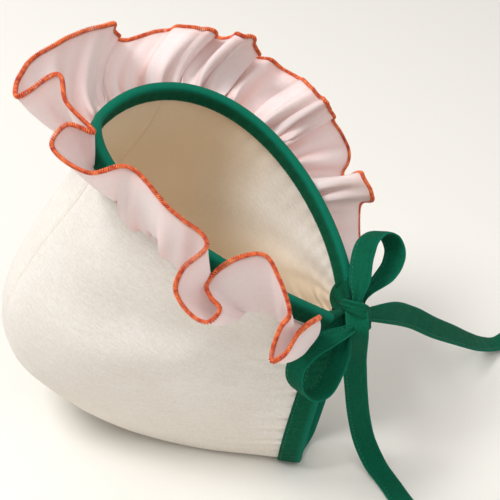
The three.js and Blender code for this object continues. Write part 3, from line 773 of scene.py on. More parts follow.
@dataclass
class Bench:
    """Where pieces are made: it puts millimetre shapes into the row frame and rides them."""

    offset: np.ndarray
    finishes: dict[str, Any] = field(default_factory=dict)

    def finish(self, finish: Cotton | Thread) -> Any:
        """Returns the finish's material, made once."""
        if finish.name not in self.finishes:
            self.finishes[finish.name] = finish.material()
        return self.finishes[finish.name]

    def mesh(self, name: str, points: np.ndarray, faces: list[tuple[int, ...]], finish: Cotton | Thread) -> Any:
        """Makes a smooth mesh piece.

        Args:
            name: The piece's name.
            points: Its vertices in millimetres, in the chin's frame.
            faces: Its faces.
            finish: What it is made of.

        Returns:
            The object, at the origin.
        """
        mesh = bpy.data.meshes.new(name)
        mesh.from_pydata(((points + self.offset) * MM).tolist(), [], faces)
        mesh.polygons.foreach_set("use_smooth", [True] * len(mesh.polygons))
        mesh.materials.append(self.finish(finish))
        return shown(name, mesh)

    def slab(
        self,
        name: str,
        upper: np.ndarray,
        lower: np.ndarray,
        finish: Cotton | Thread,
        tones: tuple[np.ndarray, np.ndarray] | None = None,
        cloth: np.ndarray | None = None,
    ) -> Any:
        """Makes a closed bent slab between two grids.

        Args:
            name: The piece's name.
            upper: Points of one side, as columns of rows.
            lower: Points of the other side.
            finish: What it is made of.
            tones: Each side's share of tint, from 0 to 1, which carries painted shade and painted highlights.
            cloth: The cloth's own places on the grid, in millimetres.

        Returns:
            The object.
        """
        columns, rows = upper.shape[:2]
        top = np.arange(columns * rows).reshape(columns, rows)
        low = top + columns * rows

        def quads(a: np.ndarray, b: np.ndarray, c: np.ndarray, d: np.ndarray) -> np.ndarray:
            """Returns the faces with these corners."""
            return np.stack([a.ravel(), b.ravel(), c.ravel(), d.ravel()], axis=1)

        faces = np.vstack(
            [
                quads(top[:-1, :-1], top[1:, :-1], top[1:, 1:], top[:-1, 1:]),
                quads(low[:-1, :-1], low[:-1, 1:], low[1:, 1:], low[1:, :-1]),
                quads(top[:-1, 0], low[:-1, 0], low[1:, 0], top[1:, 0]),
                quads(top[:-1, -1], top[1:, -1], low[1:, -1], low[:-1, -1]),
                quads(top[0, :-1], top[0, 1:], low[0, 1:], low[0, :-1]),
                quads(top[-1, :-1], low[-1, :-1], low[-1, 1:], top[-1, 1:]),
            ]
        )
        points = np.concatenate([upper.reshape(-1, 3), lower.reshape(-1, 3)])
        a, b, c, d = (points[faces[:, k]] for k in range(4))
        volume = np.einsum("ij,ij->", a, np.cross(b, c)) + np.einsum("ij,ij->", a, np.cross(c, d))
        if volume < 0:
            faces = faces[:, ::-1]
        piece = self.mesh(name, points, faces.tolist(), finish)
        if tones is not None:
            self.tone(piece, np.concatenate([tones[0].ravel(), tones[1].ravel()]))
        if cloth is not None:
            self.lay_out(piece, np.vstack([cloth.reshape(-1, 2)] * 2))
        return piece

    @staticmethod
    def tone(piece: Any, values: np.ndarray) -> None:
        """Gives each vertex its share of tint, which carries painted shade and painted highlights."""
        layer = piece.data.attributes.new("tone", "FLOAT", "POINT")
        layer.data.foreach_set("value", np.clip(values, 0, 1).astype(np.float32))

    @staticmethod
    def lay_out(piece: Any, places: np.ndarray) -> None:
        """Gives each vertex its place on the cloth, in millimetres."""
        layer = piece.data.uv_layers.new(name="cloth")
        corners = np.empty(len(piece.data.loops), dtype=np.int32)
        piece.data.loops.foreach_get("vertex_index", corners)
        layer.data.foreach_set("uv", places[corners].astype(np.float32).ravel())

    def ride(self, piece: Any, slot: str, *nodes: str) -> Any:
        """Puts a piece on the body and lets it stand for the nodes."""
        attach(piece, "root")
        if nodes:
            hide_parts(*nodes)
        log.info("%s: %d faces", piece.name, len(piece.data.polygons))
        return piece

    def path(self, name: str, lines: Sequence[np.ndarray]) -> Any:
        """Returns an object with each line's points joined by edges, for a thread to follow."""
        starts = np.cumsum([0] + [len(line) for line in lines])
        edges = [(i, i + 1) for a, b in zip(starts[:-1], starts[1:]) for i in range(a, b - 1)]
        mesh = bpy.data.meshes.new(name)
        mesh.from_pydata(((np.vstack(lines) + self.offset) * MM).tolist(), edges, [])
        return shown(name, mesh)


def lengths_along(points: np.ndarray) -> np.ndarray:
    """Returns how far along a line of points each one is."""
    return np.concatenate([[0.0], np.cumsum(np.linalg.norm(np.diff(points, axis=0), axis=1))])


def sheet_normals(grid: np.ndarray) -> np.ndarray:
    """Returns the directions out of a sheet that is given as columns of rows."""
    return unit(np.cross(-np.gradient(grid, axis=1), np.gradient(grid, axis=0)))


@dataclass
class Wrapping:
    """Thread wound round an edge, or stitches along a line, laid by geometry nodes."""

    name: str
    pitch: float
    radius: float
    thread: float
    slant: tuple[float, float, float] = (0.0, 0.0, 0.0)
    stitch: float = 0.0

    def group(self, material: Any) -> Any:
        """Builds the tree.

        Args:
            material: The thread's material.

        Returns:
            The node group, with its sizes as named inputs.
        """
        group = bpy.data.node_groups.new(self.name, "GeometryNodeTree")
        face = group.interface
        face.new_socket("Geometry", in_out="INPUT", socket_type="NodeSocketGeometry")
        for name in ("Pitch", "Radius", "Thread", "Stitch"):
            face.new_socket(name, in_out="INPUT", socket_type="NodeSocketFloat")
        face.new_socket("Geometry", in_out="OUTPUT", socket_type="NodeSocketGeometry")
        tree = NodeTree(group)
        source = tree.tree.nodes.new("NodeGroupInput")
        sizes = {output.name: Socket(tree, output) for output in source.outputs if output.name}
        line = tree.add("GeometryNodeMeshToCurve", {}, {"Mesh": sizes["Geometry"]})
        paced = {"Curve": line, "Length": sizes["Pitch"]}
        stops = tree.add("GeometryNodeResampleCurve", {"mode": "LENGTH"}, paced)
        tangent = tree.add("GeometryNodeInputTangent")
        leaning = tree.add("ShaderNodeVectorMath", {"operation": "ADD"}, {0: tangent, 1: self.slant})
        turned = tree.add("FunctionNodeAlignRotationToVector", {"axis": "Z"}, {"Vector": leaning})
        if self.stitch:
            shape = tree.add(
                "GeometryNodeMeshUVSphere", {}, {"Segments": 6, "Rings": 6, "Radius": sizes["Thread"]}
            )
            long = tree.add("ShaderNodeCombineXYZ", {}, {0: 1.0, 1: 1.0, 2: sizes["Stitch"]})
            shape = tree.add("GeometryNodeTransform", {}, {"Geometry": shape, "Scale": long})
        else:
            circle = "GeometryNodeCurvePrimitiveCircle"
            ring = tree.add(circle, {}, {"Resolution": 10, "Radius": sizes["Radius"]})
            strand = tree.add(circle, {}, {"Resolution": 4, "Radius": sizes["Thread"]})
            shape = tree.add("GeometryNodeCurveToMesh", {}, {"Curve": ring, "Profile Curve": strand})
        laid = tree.add(
            "GeometryNodeInstanceOnPoints", {}, {"Points": stops, "Instance": shape, "Rotation": turned}
        )
        real = tree.add("GeometryNodeRealizeInstances", {}, {"Geometry": laid})
        smooth = tree.add("GeometryNodeSetShadeSmooth", {}, {"Geometry": real})
        dressed = tree.add("GeometryNodeSetMaterial", {}, {"Geometry": smooth, "Material": material})
        tree.add("NodeGroupOutput", {}, {"Geometry": dressed})
        return group

    def lay(self, bench: Bench, lines: Sequence[np.ndarray], finish: Thread) -> Any:
        """Lays the thread along the lines and makes it a plain mesh.

        Args:
            bench: Where the piece is made.
            lines: The lines' points, in millimetres.
            finish: The thread.

        Returns:
            The object.
        """
        path = bench.path(self.name + "_path", lines)
        material = bench.finish(finish)
        group = self.group(material)
        modifier = path.modifiers.new(self.name, "NODES")
        modifier.node_group = group
        values = {
            "Pitch": self.pitch * MM,
            "Radius": self.radius * MM,
            "Thread": self.thread * MM,
            "Stitch": self.stitch,
        }
        for item in group.interface.items_tree:
            if item.in_out == "INPUT" and item.name in values:
                modifier[item.identifier] = values[item.name]
        bpy.context.view_layer.update()
        graph = bpy.context.evaluated_depsgraph_get()
        mesh = bpy.data.meshes.new_from_object(path.evaluated_get(graph))
        mesh.name = self.name
        if not mesh.materials:
            mesh.materials.append(material)
        path.modifiers.remove(modifier)
        bpy.data.objects.remove(path)
        return shown(self.name, mesh)


@dataclass
class Crown:
    """The crown's three panels."""

    hood: Hood
    wall: float = 1.5
    columns: int = 150
    rows: int = 90
    gather: float = 0.5
    wave: float = 0.35
    neck_fade: float = 16.0
    face_fade: float = 9.0
    seam_depth: float = 0.3
    lining_rise: float = 0.6

    def relief(self, way: np.ndarray, at: np.ndarray, distance: np.ndarray, length: np.ndarray) -> np.ndarray:
        """Works out how far the cloth stands out of the smooth hood.

        Args:
            way: From the face edge to the neck edge.
            at: The way round.
            distance: From the face edge, in millimetres.
            length: The length of each line across.

        Returns:
            The heights in millimetres.
        """
        height = np.zeros_like(way)
        for crease in CREASES:
            down = (way - crease.way) / crease.spread_way
            aside = (at - crease.at) / crease.spread_at + crease.slant * down
            height += crease.height * bell(down) * bell(aside)
        from_neck = length - distance - NECK_BINDING_WIDTH
        pleats = wavy(at, 260, 1.5, 37) + 0.6 * wavy(at, 430, 2, 23)
        pleats = pleats * ease(0.08, 0.13, np.minimum(at, 1 - at))
        height += self.gather * pleats * np.exp(-np.maximum(from_neck, 0) / self.neck_fade)
        from_face = distance - FACE_BINDING_WIDTH
        height += self.wave * wavy(at, 330, 2, 29) * np.exp(-np.maximum(from_face, 0) / self.face_fade)
        height += self.wave * np.sin(way * 21 + at * 43) * np.sin(way * 13 - at * 31)
        ends = ease(0, 10, np.minimum(distance, length - distance))
        return height * ends - self.seam_depth * panel_seams(at, 0.004)

    def panel(self, bench: Bench, name: str, start: float, end: float) -> tuple[Any, float, float, float]:
        """Makes one panel.

        Args:
            bench: Where the piece is made.
            name: The CAD node that it stands for.
            start: Its first share of the way round.
            end: Its last.

        Returns:
            The piece, its width and length in millimetres and its area, as modelled.
        """
        at = np.linspace(start, end, self.columns)
        lines = self.hood.crossings(at)
        distance = lines.length[:, None] * np.linspace(0, 1, self.rows)[None, :]
        way = lines.way_after(distance)
        ats = np.broadcast_to(at[:, None], way.shape)
        point, _, out, _ = self.hood.place(way, ats)
        height = self.relief(way, ats, distance, np.broadcast_to(lines.length[:, None], way.shape))
        height = height * ease(0, 6, point[..., 2] + 2)
        height = np.where(point[..., 2] < 4, np.minimum(height, 0), height)
        upper = point + out * height[..., None]
        upper[..., 2] = np.maximum(upper[..., 2], 0)
        lower = upper - out * self.wall
        lower[..., 2] = np.maximum(lower[..., 2], self.lining_rise)
        seam = panel_seams(ats, 0.006)
        # Painted light: the inside is tinted warm tan as painted shade, with a band near 0.66 of the way round,
        # and on the far inner wall near the face edge the tint is taken off as a painted patch of direct light.
        # The outside grows warmer and darker toward the floor as painted shade. The seams are tinted a little
        # more, inside and out.
        painted_light_patch = ease(0.68, 0.8, ats) * ease(0.6, 0.2, way)
        inner = (0.8 + 0.1 * seam + 0.1 * bell((ats - 0.66) / 0.05)) * (1 - painted_light_patch)
        outer = 0.08 * seam + 0.12 * ease(60, 0, point[..., 2])
        middle = lengths_along(point[:, self.rows // 2])
        cloth = np.stack([np.broadcast_to(middle[:, None], way.shape), distance], axis=-1)
        piece = bench.slab(name + "_cloth", upper, lower, CREAM_COTTON, (outer, inner), cloth)
        bench.ride(piece, "crown_cloth", name)
        return piece, float(middle[-1]), float(lines.length.max()), grid_area(point)

    def build(self, bench: Bench) -> list[Any]:
        pieces = []
        for name, start, end in (
            ("crown_side_near", CORNER, PANEL_SEAM),
            ("crown_centre", PANEL_SEAM, 1 - PANEL_SEAM),
            ("crown_side_far", 1 - PANEL_SEAM, 1 - CORNER),
        ):
            piece, width, length, area = self.panel(bench, name, start, end)
            declare(width, length, area)
            pieces.append(piece)
        return pieces


def grid_area(grid: np.ndarray) -> float:
    """Returns the area of a grid of points, in its own units."""
    across = np.cross(grid[1:, :-1] - grid[:-1, :-1], grid[:-1, 1:] - grid[:-1, :-1])
    return float(np.linalg.norm(across, axis=-1).sum())


def declare(
    width: float,
    length: float,
    area: float,
) -> None:
    """Works out a sheet of cloth's flat size in millimetres, made larger where its area needs it, and keeps
    nothing.

    Args:
        width: Its flat width.
        length: Its flat length.
        area: Its flat area in square millimetres.
    """
    scale = max(1.0, area / (width * length)) ** 0.5
    flat = (width * scale * MM, length * scale * MM)
    area * MM * MM


FLANGE_SHARES = (0.12, 0.24, 0.36, 0.48, 0.6, 0.72, 0.84, 0.93)


@dataclass
class Binding:
    """A strip of green cotton folded over an edge of the crown."""

    hood: Hood
    edge: Edge
    columns: int = 360
    wall: float = 1.0
    room: float = 0.3
    rim: float = 0.45
    crown_wall: float = 1.6

    def build(self, bench: Bench) -> Any:
        at = np.linspace(CORNER, 1 - CORNER, self.columns)
        lines = self.hood.crossings(at)
        face = self.edge is Edge.FACE
        flange = lines.face_flange if face else lines.neck_flange
        over, under = self.room + self.wall, -self.crown_wall - self.room
        outer = [(1.0, 0.0, over - self.rim), (FLANGE_SHARES[-1], 0.0, over)]
        outer += [(share, 0.0, over + 0.12 * math.sin(math.pi * share)) for share in FLANGE_SHARES[-2::-1]]
        outer += self.fold(over, under - self.wall, over)
        outer += [(share, 0.0, under - self.wall) for share in FLANGE_SHARES]
        outer += [(1.0, 0.0, under - self.wall + self.rim)]
        inner = [(share, 0.0, self.room) for share in (1.0, *reversed(FLANGE_SHARES))]
        inner += self.fold(self.room, under, self.room)
        inner += [(share, 0.0, under) for share in (*FLANGE_SHARES, 1.0)]
        sides = [self.side(lines, flange, rows, at) for rows in (outer, inner)]
        along = lengths_along(sides[0][:, len(outer) // 2])
        across = lengths_along(sides[0][self.columns // 2])
        cloth = np.stack(np.meshgrid(along, across, indexing="ij"), axis=-1)
        shares = np.array([row[0] for row in outer])
        # Painted highlight: the outside of the rounded fold over the edge is blended toward the brighter green
        # tint.
        tone = np.broadcast_to(0.6 * bell(shares / 0.14), sides[0].shape[:2])
        name = self.edge.value + "_binding"
        piece = bench.slab(name + "_cloth", sides[0], sides[1], GREEN_COTTON, (tone, tone * 0), cloth)
        bench.ride(piece, "tie_cloth", name)
        declare(across[-1], along[-1], grid_area(sides[0]))
        self.stitches(bench, lines, flange, over)
        return piece

    @staticmethod
    def fold(top: float, bottom: float, past: float) -> list[tuple[float, float, float]]:
        """Returns the round fold over the edge, as shares, distances past it and rises."""
        middle, half = (top + bottom) / 2, (top - bottom) / 2
        turns = [math.pi * k / 10 for k in range(11)]
        return [(0.0, past * math.sin(turn), middle + half * math.cos(turn)) for turn in turns]

    def side(
        self, lines: Crossings, flange: np.ndarray, rows: list[tuple[float, float, float]], at: np.ndarray
    ) -> np.ndarray:
        """Works out one side of the strip.

        Args:
            lines: The lines across the crown.
            flange: How far the strip reaches in on each.
            rows: The strip's section.
            at: The shares of the way round.

        Returns:
            The side's grid of points.
        """
        shares = np.array([row[0] for row in rows])
        past = np.array([row[1] for row in rows])
        rise = np.array([row[2] for row in rows])
        distance = flange[:, None] * shares[None, :]
        if self.edge is Edge.NECK:
            distance = lines.length[:, None] - distance
            past = -past
        way = lines.way_after(distance)
        point, _, out, front = self.hood.place(way, np.broadcast_to(at[:, None], way.shape))
        ripple = 0.14 * wavy(at, 410, 2, 31)[:, None] * np.sin(np.pi * shares)[None, :]
        grid = point + out * (rise[None, :] + ripple)[..., None] + front * past[None, :, None]
        grid[..., 2] = np.maximum(grid[..., 2], 0.02)
        return grid

    def stitches(self, bench: Bench, lines: Crossings, flange: np.ndarray, over: float) -> None:
        """Lays the line of stitches near the strip's inner edge, inside and out."""
        threads = []
        for rise in (over + 0.12, -self.crown_wall - self.room - self.wall - 0.08):
            grid = self.side(lines, flange, [(0.86, 0.0, rise)], lines.at)
            threads.append(grid[6:-6, 0])
        wrap = Wrapping(f"{self.edge.value}_binding_stitches", pitch=2.4, radius=0.3, thread=0.2, stitch=4.0)
        bench.ride(wrap.lay(bench, threads, GREEN_THREAD), "tie_cloth")


@dataclass
class Ruffle:
    """The gathered strip round the face edge, with its overlocked hem."""

    hood: Hood
    columns: int = 1500
    rows: int = 32
    wall: float = 0.7
    gathers: float = 1.3
    depth: float = 0.3
    thread_radius: float = 1.05
    even: int = 8  # columns on each side that a pleat's directions are averaged over

    def seam(self, at: np.ndarray) -> tuple[np.ndarray, np.ndarray, np.ndarray, np.ndarray]:
        """Returns the ruffle's seam, just behind the face binding, with its directions."""
        lines = self.hood.crossings(at)
        behind = lines.face_flange + 1.1
        way = lines.way_after(behind[:, None])[:, 0]
        point, along, out, front = self.hood.place(way, at)
        return point + out * 0.6, along, out, front

    def sheet(self) -> tuple[np.ndarray, np.ndarray]:
        """Works out the ruffle's middle surface.

        Returns:
            Its grid of points and each column's share of the way round.
        """
        stops = np.array([turn.at for turn in HEM_TURNS])
        point, along, out, front = self.seam(stops)
        shifts = [np.array([getattr(turn, name) for turn in HEM_TURNS]) for name in ("slide", "out", "front")]
        hem = point + RUFFLE_HEIGHT * sum(s[:, None] * d for s, d in zip(shifts, (along, out, front)))
        fine = np.linspace(0, 1, 4 * self.columns)
        dense = centripetal(hem, fine)
        walked = lengths_along(dense)
        share = np.interp(np.linspace(0, walked[-1], self.columns), walked, fine)
        end = centripetal(hem, share)
        at = np.interp(share * (len(stops) - 1), np.arange(len(stops)), stops)
        start, _, out, _ = self.seam(at)
        reach = np.linalg.norm(end - start, axis=1)[:, None]
        stand = RUFFLE_STAND * (1 - 0.9 * ease(0.3, 0.36, at) * ease(0.48, 0.44, at))[:, None]
        own_turn = end - start - averaged(end - start, self.columns // 9)
        rising = start + out * stand * reach + self.depth * own_turn
        t = np.linspace(0, 1, self.rows)[None, :, None]
        grid = start[:, None] * (1 - t) ** 2 + 2 * rising[:, None] * t * (1 - t) + end[:, None] * t**2
        return grid, at

    def pleated(self, grid: np.ndarray, at: np.ndarray) -> np.ndarray:
        """Lays the cloth in its pleats, each folded over itself at its place along the hem.

        Args:
            grid: The smooth surface.
            at: Each column's share of the way round.

        Returns:
            The pleated surface.
        """
        walked = lengths_along(grid[:, -1])
        ways = (sheet_normals(grid), unit(np.gradient(grid, axis=0)), unit(np.gradient(grid, axis=1)))
        normal, along, beyond = (unit(averaged(way, self.even)) for way in ways)
        t = np.linspace(0, 1, self.rows)
        shift = np.zeros_like(grid)
        for pleat in PLEATS:
            centre = float(np.interp(pleat.at, at, walked))
            u = (walked - centre) / pleat.width
            grown = ease(0, 0.16, t) * (pleat.root + (pleat.hem - pleat.root) * t)
            slide = -np.tanh(u * 1.6) * bell(u / 4.5) * pleat.over / 2
            lift = (bell(u + 0.8) - bell(u - 0.8)) * pleat.rise
            fall = -ease(-0.6, 0.8, u) * bell(np.maximum(u, 0) / 4) * pleat.drop
            shift += along * (slide[:, None] * grown * t**0.5)[..., None]
            shift += normal * (lift[:, None] * grown)[..., None]
            shift += beyond * (fall[:, None] * grown * t**2)[..., None]
        return grid + shift

    def gathered(self, grid: np.ndarray, at: np.ndarray) -> np.ndarray:
        """Returns the surface with the small gathers that run out from its seam."""
        t = np.linspace(0, 1, self.rows)[None, :]
        reach = lengths_along(grid[:, self.rows // 2])[:, None]
        fold = (wavy(at, 450, 3, 61) + 0.5 * wavy(at, 1010, 2, 47))[:, None]
        rows = ease(0.0, 0.06, t) * np.exp(-t * 4.5) * (1 - ease(0.75, 1.0, t))
        rows = rows * (0.45 + 0.55 * ease(0.4, 0.5, at[:, None]))
        soft = 0.3 * np.sin(reach * 0.33 + 2 * t) * ease(0.2, 0.6, t) * (1 - ease(0.85, 1, t))
        return grid + sheet_normals(grid) * (self.gathers * fold * rows + soft)[..., None]

    def build(self, bench: Bench) -> Any:
        plain, at = self.sheet()
        plain = self.pleated(plain, at)
        grid = self.gathered(plain, at)
        normal = sheet_normals(grid)
        t = np.linspace(0, 1, self.rows)[None, :]
        # Painted shade: the ruffle is tinted deeper pink in the gathers' folds near the seam and in its pleats,
        # and it is also tinted pinker in a band along the hem.
        fold = 0.5 + 0.5 * wavy(at, 450, 3, 61)[:, None]
        tone = 0.45 * np.exp(-t * 4) * fold**1.5 + 0.2 * bell((1 - t) * 16)
        tone = tone + self.under(at, plain) * np.exp(-t * 1.6)
        along = lengths_along(grid[:, -1])
        across = np.linspace(0, RUFFLE_HEIGHT * 0.95, self.rows)
        cloth = np.stack(np.meshgrid(along, across, indexing="ij"), axis=-1)
        half = normal * self.wall / 2
        piece = bench.slab("ruffle_cloth", grid + half, grid - half, BLUSH_COTTON, (tone, tone), cloth)
        bench.ride(piece, "ruffle_cloth", "ruffle")
        hem = self.overlock(bench, plain, sheet_normals(plain))
        area = grid_area(grid)
        declare(area / along[-1], along[-1], area)
        return piece

    @staticmethod
    def under(at: np.ndarray, grid: np.ndarray) -> np.ndarray:
        """Returns the painted shade in each pleat: how deep in a pleat each column lies, where light comes
        through two layers.
        """
        walked = lengths_along(grid[:, -1])
        deep = np.zeros(len(at))
        for pleat in PLEATS:
            u = (walked - float(np.interp(pleat.at, at, walked))) / pleat.width
            deep += 0.13 * abs(pleat.rise) * bell((u - 0.5 * np.sign(pleat.rise)) / 0.9)
        return deep[:, None]

    def overlock(self, bench: Bench, grid: np.ndarray, normal: np.ndarray) -> Any:
        """Winds the thread round the hem.

        Args:
            bench: Where the piece is made.
            grid: The ruffle's middle surface.
            normal: Its directions out.

        Returns:
            The wound thread.
        """
        line, across = grid[:, -1], normal[:, -1]
        beyond = unit(np.cross(np.gradient(line, axis=0), across))
        flip = np.sign(np.einsum("ij,ij->i", beyond, grid[:, -1] - grid[:, -2]))[:, None]
        line = line + beyond * flip * 0.9
        radius = self.thread_radius - 0.2
        wrap = Wrapping("hem_wraps", pitch=0.9, radius=radius, thread=0.36, slant=(0.45, 0.4, 0.3))
        piece = wrap.lay(bench, [line], HEM_THREAD)
        bench.ride(piece, "overlock_thread", "ruffle_edge")
        return piece


def bow_axes() -> tuple[np.ndarray, np.ndarray, np.ndarray]:
    """Returns the bow's own right, up and toward."""
    right = np.array([math.cos(BOW_TURN), math.sin(BOW_TURN), 0.0])
    toward = np.array(
        [
            math.sin(BOW_TURN) * math.cos(BOW_LEAN),
            -math.cos(BOW_TURN) * math.cos(BOW_LEAN),
            math.sin(BOW_LEAN),
        ]
    )
    return right, np.cross(toward, right), toward


@dataclass
class Ribbon:
    """One stretch of the tie, of folded and edge-stitched tape."""

    node: str
    points: np.ndarray
    wides: np.ndarray
    pinches: np.ndarray
    steps: int = 150
    sides: int = 21
    wall: float = 1.2
    curl: float = 0.5
    stitch_row: float = 0.13
    stitch_rise: float = 0.3

    def build(self, bench: Bench) -> Any:
        share = np.linspace(0, 1, self.steps)
        centre = centripetal(self.points, share)
        centre[:, 2] = np.maximum(centre[:, 2], self.wall / 2 + 0.05)
        tangent = unit(np.gradient(centre, axis=0))
        wide = centripetal(self.wides, share)
        wide = unit(wide - tangent * np.einsum("ij,ij->i", wide, tangent)[:, None])
        thick = np.cross(tangent, wide)
        pinch = centripetal(np.repeat(self.pinches[:, None], 3, axis=1), share)[:, :1]
        half = pinch * TIE_WIDTH / 2
        x = np.linspace(-1, 1, self.sides)[None, :]
        lift = (1 - pinch) * 1.5 * np.cos(x * math.pi * 1.5)
        curl = self.curl * (0.6 + 0.4 * np.sin(share * 9))[:, None] * ease(2, 9, centre[:, 2:])
        lift = lift + curl * (x**2 - 0.4)
        walked = lengths_along(centre)
        lift = lift + 0.12 * wavy(walked, 0.8, 2, 0.21)[:, None] * (1 - x**2)
        depth = self.wall / 2 * np.sqrt(np.clip(1 - np.abs(x) ** 8, 0.08, 1))
        depth = depth - 0.16 * bell((np.abs(x) - 0.74) / 0.06)
        surface = centre[:, None] + wide[:, None] * (half * x)[..., None] + thick[:, None] * lift[..., None]
        sides = []
        for sign in (1, -1):
            grid = surface + thick[:, None] * (sign * depth)[..., None]
            grid[..., 2] = np.maximum(grid[..., 2], 0.0)
            sides.append(grid)
        cloth = np.stack(np.broadcast_arrays(walked[:, None], half * x), axis=-1)
        # Painted highlight along the tape's folded edges, on a slight even tint over the whole ribbon.
        tone = np.broadcast_to(0.5 * np.abs(x) ** 10 + 0.1, surface.shape[:2])
        piece = bench.slab(self.node + "_cloth", sides[0], sides[1], GREEN_COTTON, (tone, tone), cloth)
        bench.ride(piece, "tie_cloth", self.node)
        declare(TIE_WIDTH, float(walked[-1]), grid_area(surface))
        row = round((self.sides - 1) * self.stitch_row)
        threads = [np.maximum(grid[4:-4, row], (-np.inf, -np.inf, self.stitch_rise)) for grid in sides]
        wrap = Wrapping(self.node + "_stitches", pitch=2.3, radius=0.3, thread=0.22, stitch=3.4)
        bench.ride(wrap.lay(bench, threads, GREEN_THREAD), "tie_cloth")
        return piece


def loop_ribbon(node: str, rows: Sequence[LoopStop]) -> Ribbon:
    """Returns one loop of the bow as a ribbon."""
    axes = np.array(bow_axes())
    points = np.array([[row.right, row.up, row.toward] for row in rows]) @ axes * LOOP_LENGTH + KNOT_CENTRE
    wides = np.array([[row.wide_right, row.wide_up, row.wide_toward] for row in rows]) @ axes
    pinches = np.array([row.pinch for row in rows])
    inside = [KNOT_CENTRE + 0.3 * (end - KNOT_CENTRE) for end in (points[0], points[-1])]
    points = np.vstack([inside[0], points, inside[1]])
    wides = np.vstack([wides[0], wides, wides[-1]])
    return Ribbon(node, points, wides, np.pad(pinches, 1, mode="edge") * 0.98, curl=0.7)


def tail_ribbon(node: str, rows: Sequence[TailStop], reach: float) -> Ribbon:
    """Returns one loose end as a ribbon that falls to the surface and lies on it."""
    front = node == "tail_front"
    points, wides = [], []
    for row in rows:
        point = KNOT_CENTRE + np.array([row.forward * reach, row.aside * reach, 0.0])
        point[2] = max(row.rise * KNOT_CENTRE[2], 0.7)
        points.append(point)
        turn, edge = math.radians(row.across), math.radians(row.edge)
        wides.append([math.cos(turn) * math.cos(edge), math.sin(turn) * math.cos(edge), math.sin(edge)])
    pinches = [row.pinch for row in rows]
    right, up, toward = bow_axes()
    for stop in reversed(FRONT_TAIL_START if front else RIGHT_TAIL_START):
        points.insert(0, KNOT_CENTRE + up * stop.up + toward * stop.toward)
        wides.insert(0, list(right) if front else wides[0])
        pinches.insert(0, 0.95 if front else 0.6)
    return Ribbon(node, np.array(points), np.array(wides), np.array(pinches))


@dataclass
class Lead:
    """The short stretch of tie that gathers a chin corner into the knot."""

    hood: Hood
    node: str
    at: float
    steps: int = 40
    wall: float = 1.4
    thick: float = 3.8
    depth: float = 0.8
    overhang: float = 1.1

    def build(self, bench: Bench) -> Any:
        sideways = -1 if self.at < 0.5 else 1
        _, up, _ = bow_axes()
        middle = self.hood.point(0.5, self.at)
        inward = unit(KNOT_CENTRE - middle)
        inward = unit(inward - up * float(inward @ up))
        mouth = KNOT_CENTRE - inward * (KNOT_RADIUS - 1.2)
        share = np.linspace(0, 1, self.steps)
        point, along, out, front = self.hood.place(share, self.at)
        past = self.overhang * (1 - 2 * ease(0, 1, share))
        start = point - out * self.depth - along * sideways * 1.8 + front * past[:, None]
        end = mouth + up * ((0.5 - share) * 0.6 * TIE_WIDTH)[:, None]
        t = np.linspace(0, 1, self.steps)[None, :, None]
        grid = start[:, None] * (1 - t) + end[:, None] * t
        pleat = 0.5 * np.sin(share * 22)[:, None] * np.sin(np.pi * t[..., 0])
        normal = sheet_normals(grid)
        grid = grid + normal * pleat[..., None]
        half = normal * (self.thick * (1 - t) + self.wall * t) / 2
        cloth = np.stack(np.meshgrid(share * 30, share * 12, indexing="ij"), axis=-1)
        tone = np.full(grid.shape[:2], 0.05)
        piece = bench.slab(self.node + "_cloth", grid + half, grid - half, GREEN_COTTON, (tone, tone), cloth)
        bench.ride(piece, "tie_cloth", self.node)
        area = grid_area(grid)
        length = float(np.linalg.norm(start - end, axis=1).mean())
        declare(area / length, length, area)
        return piece


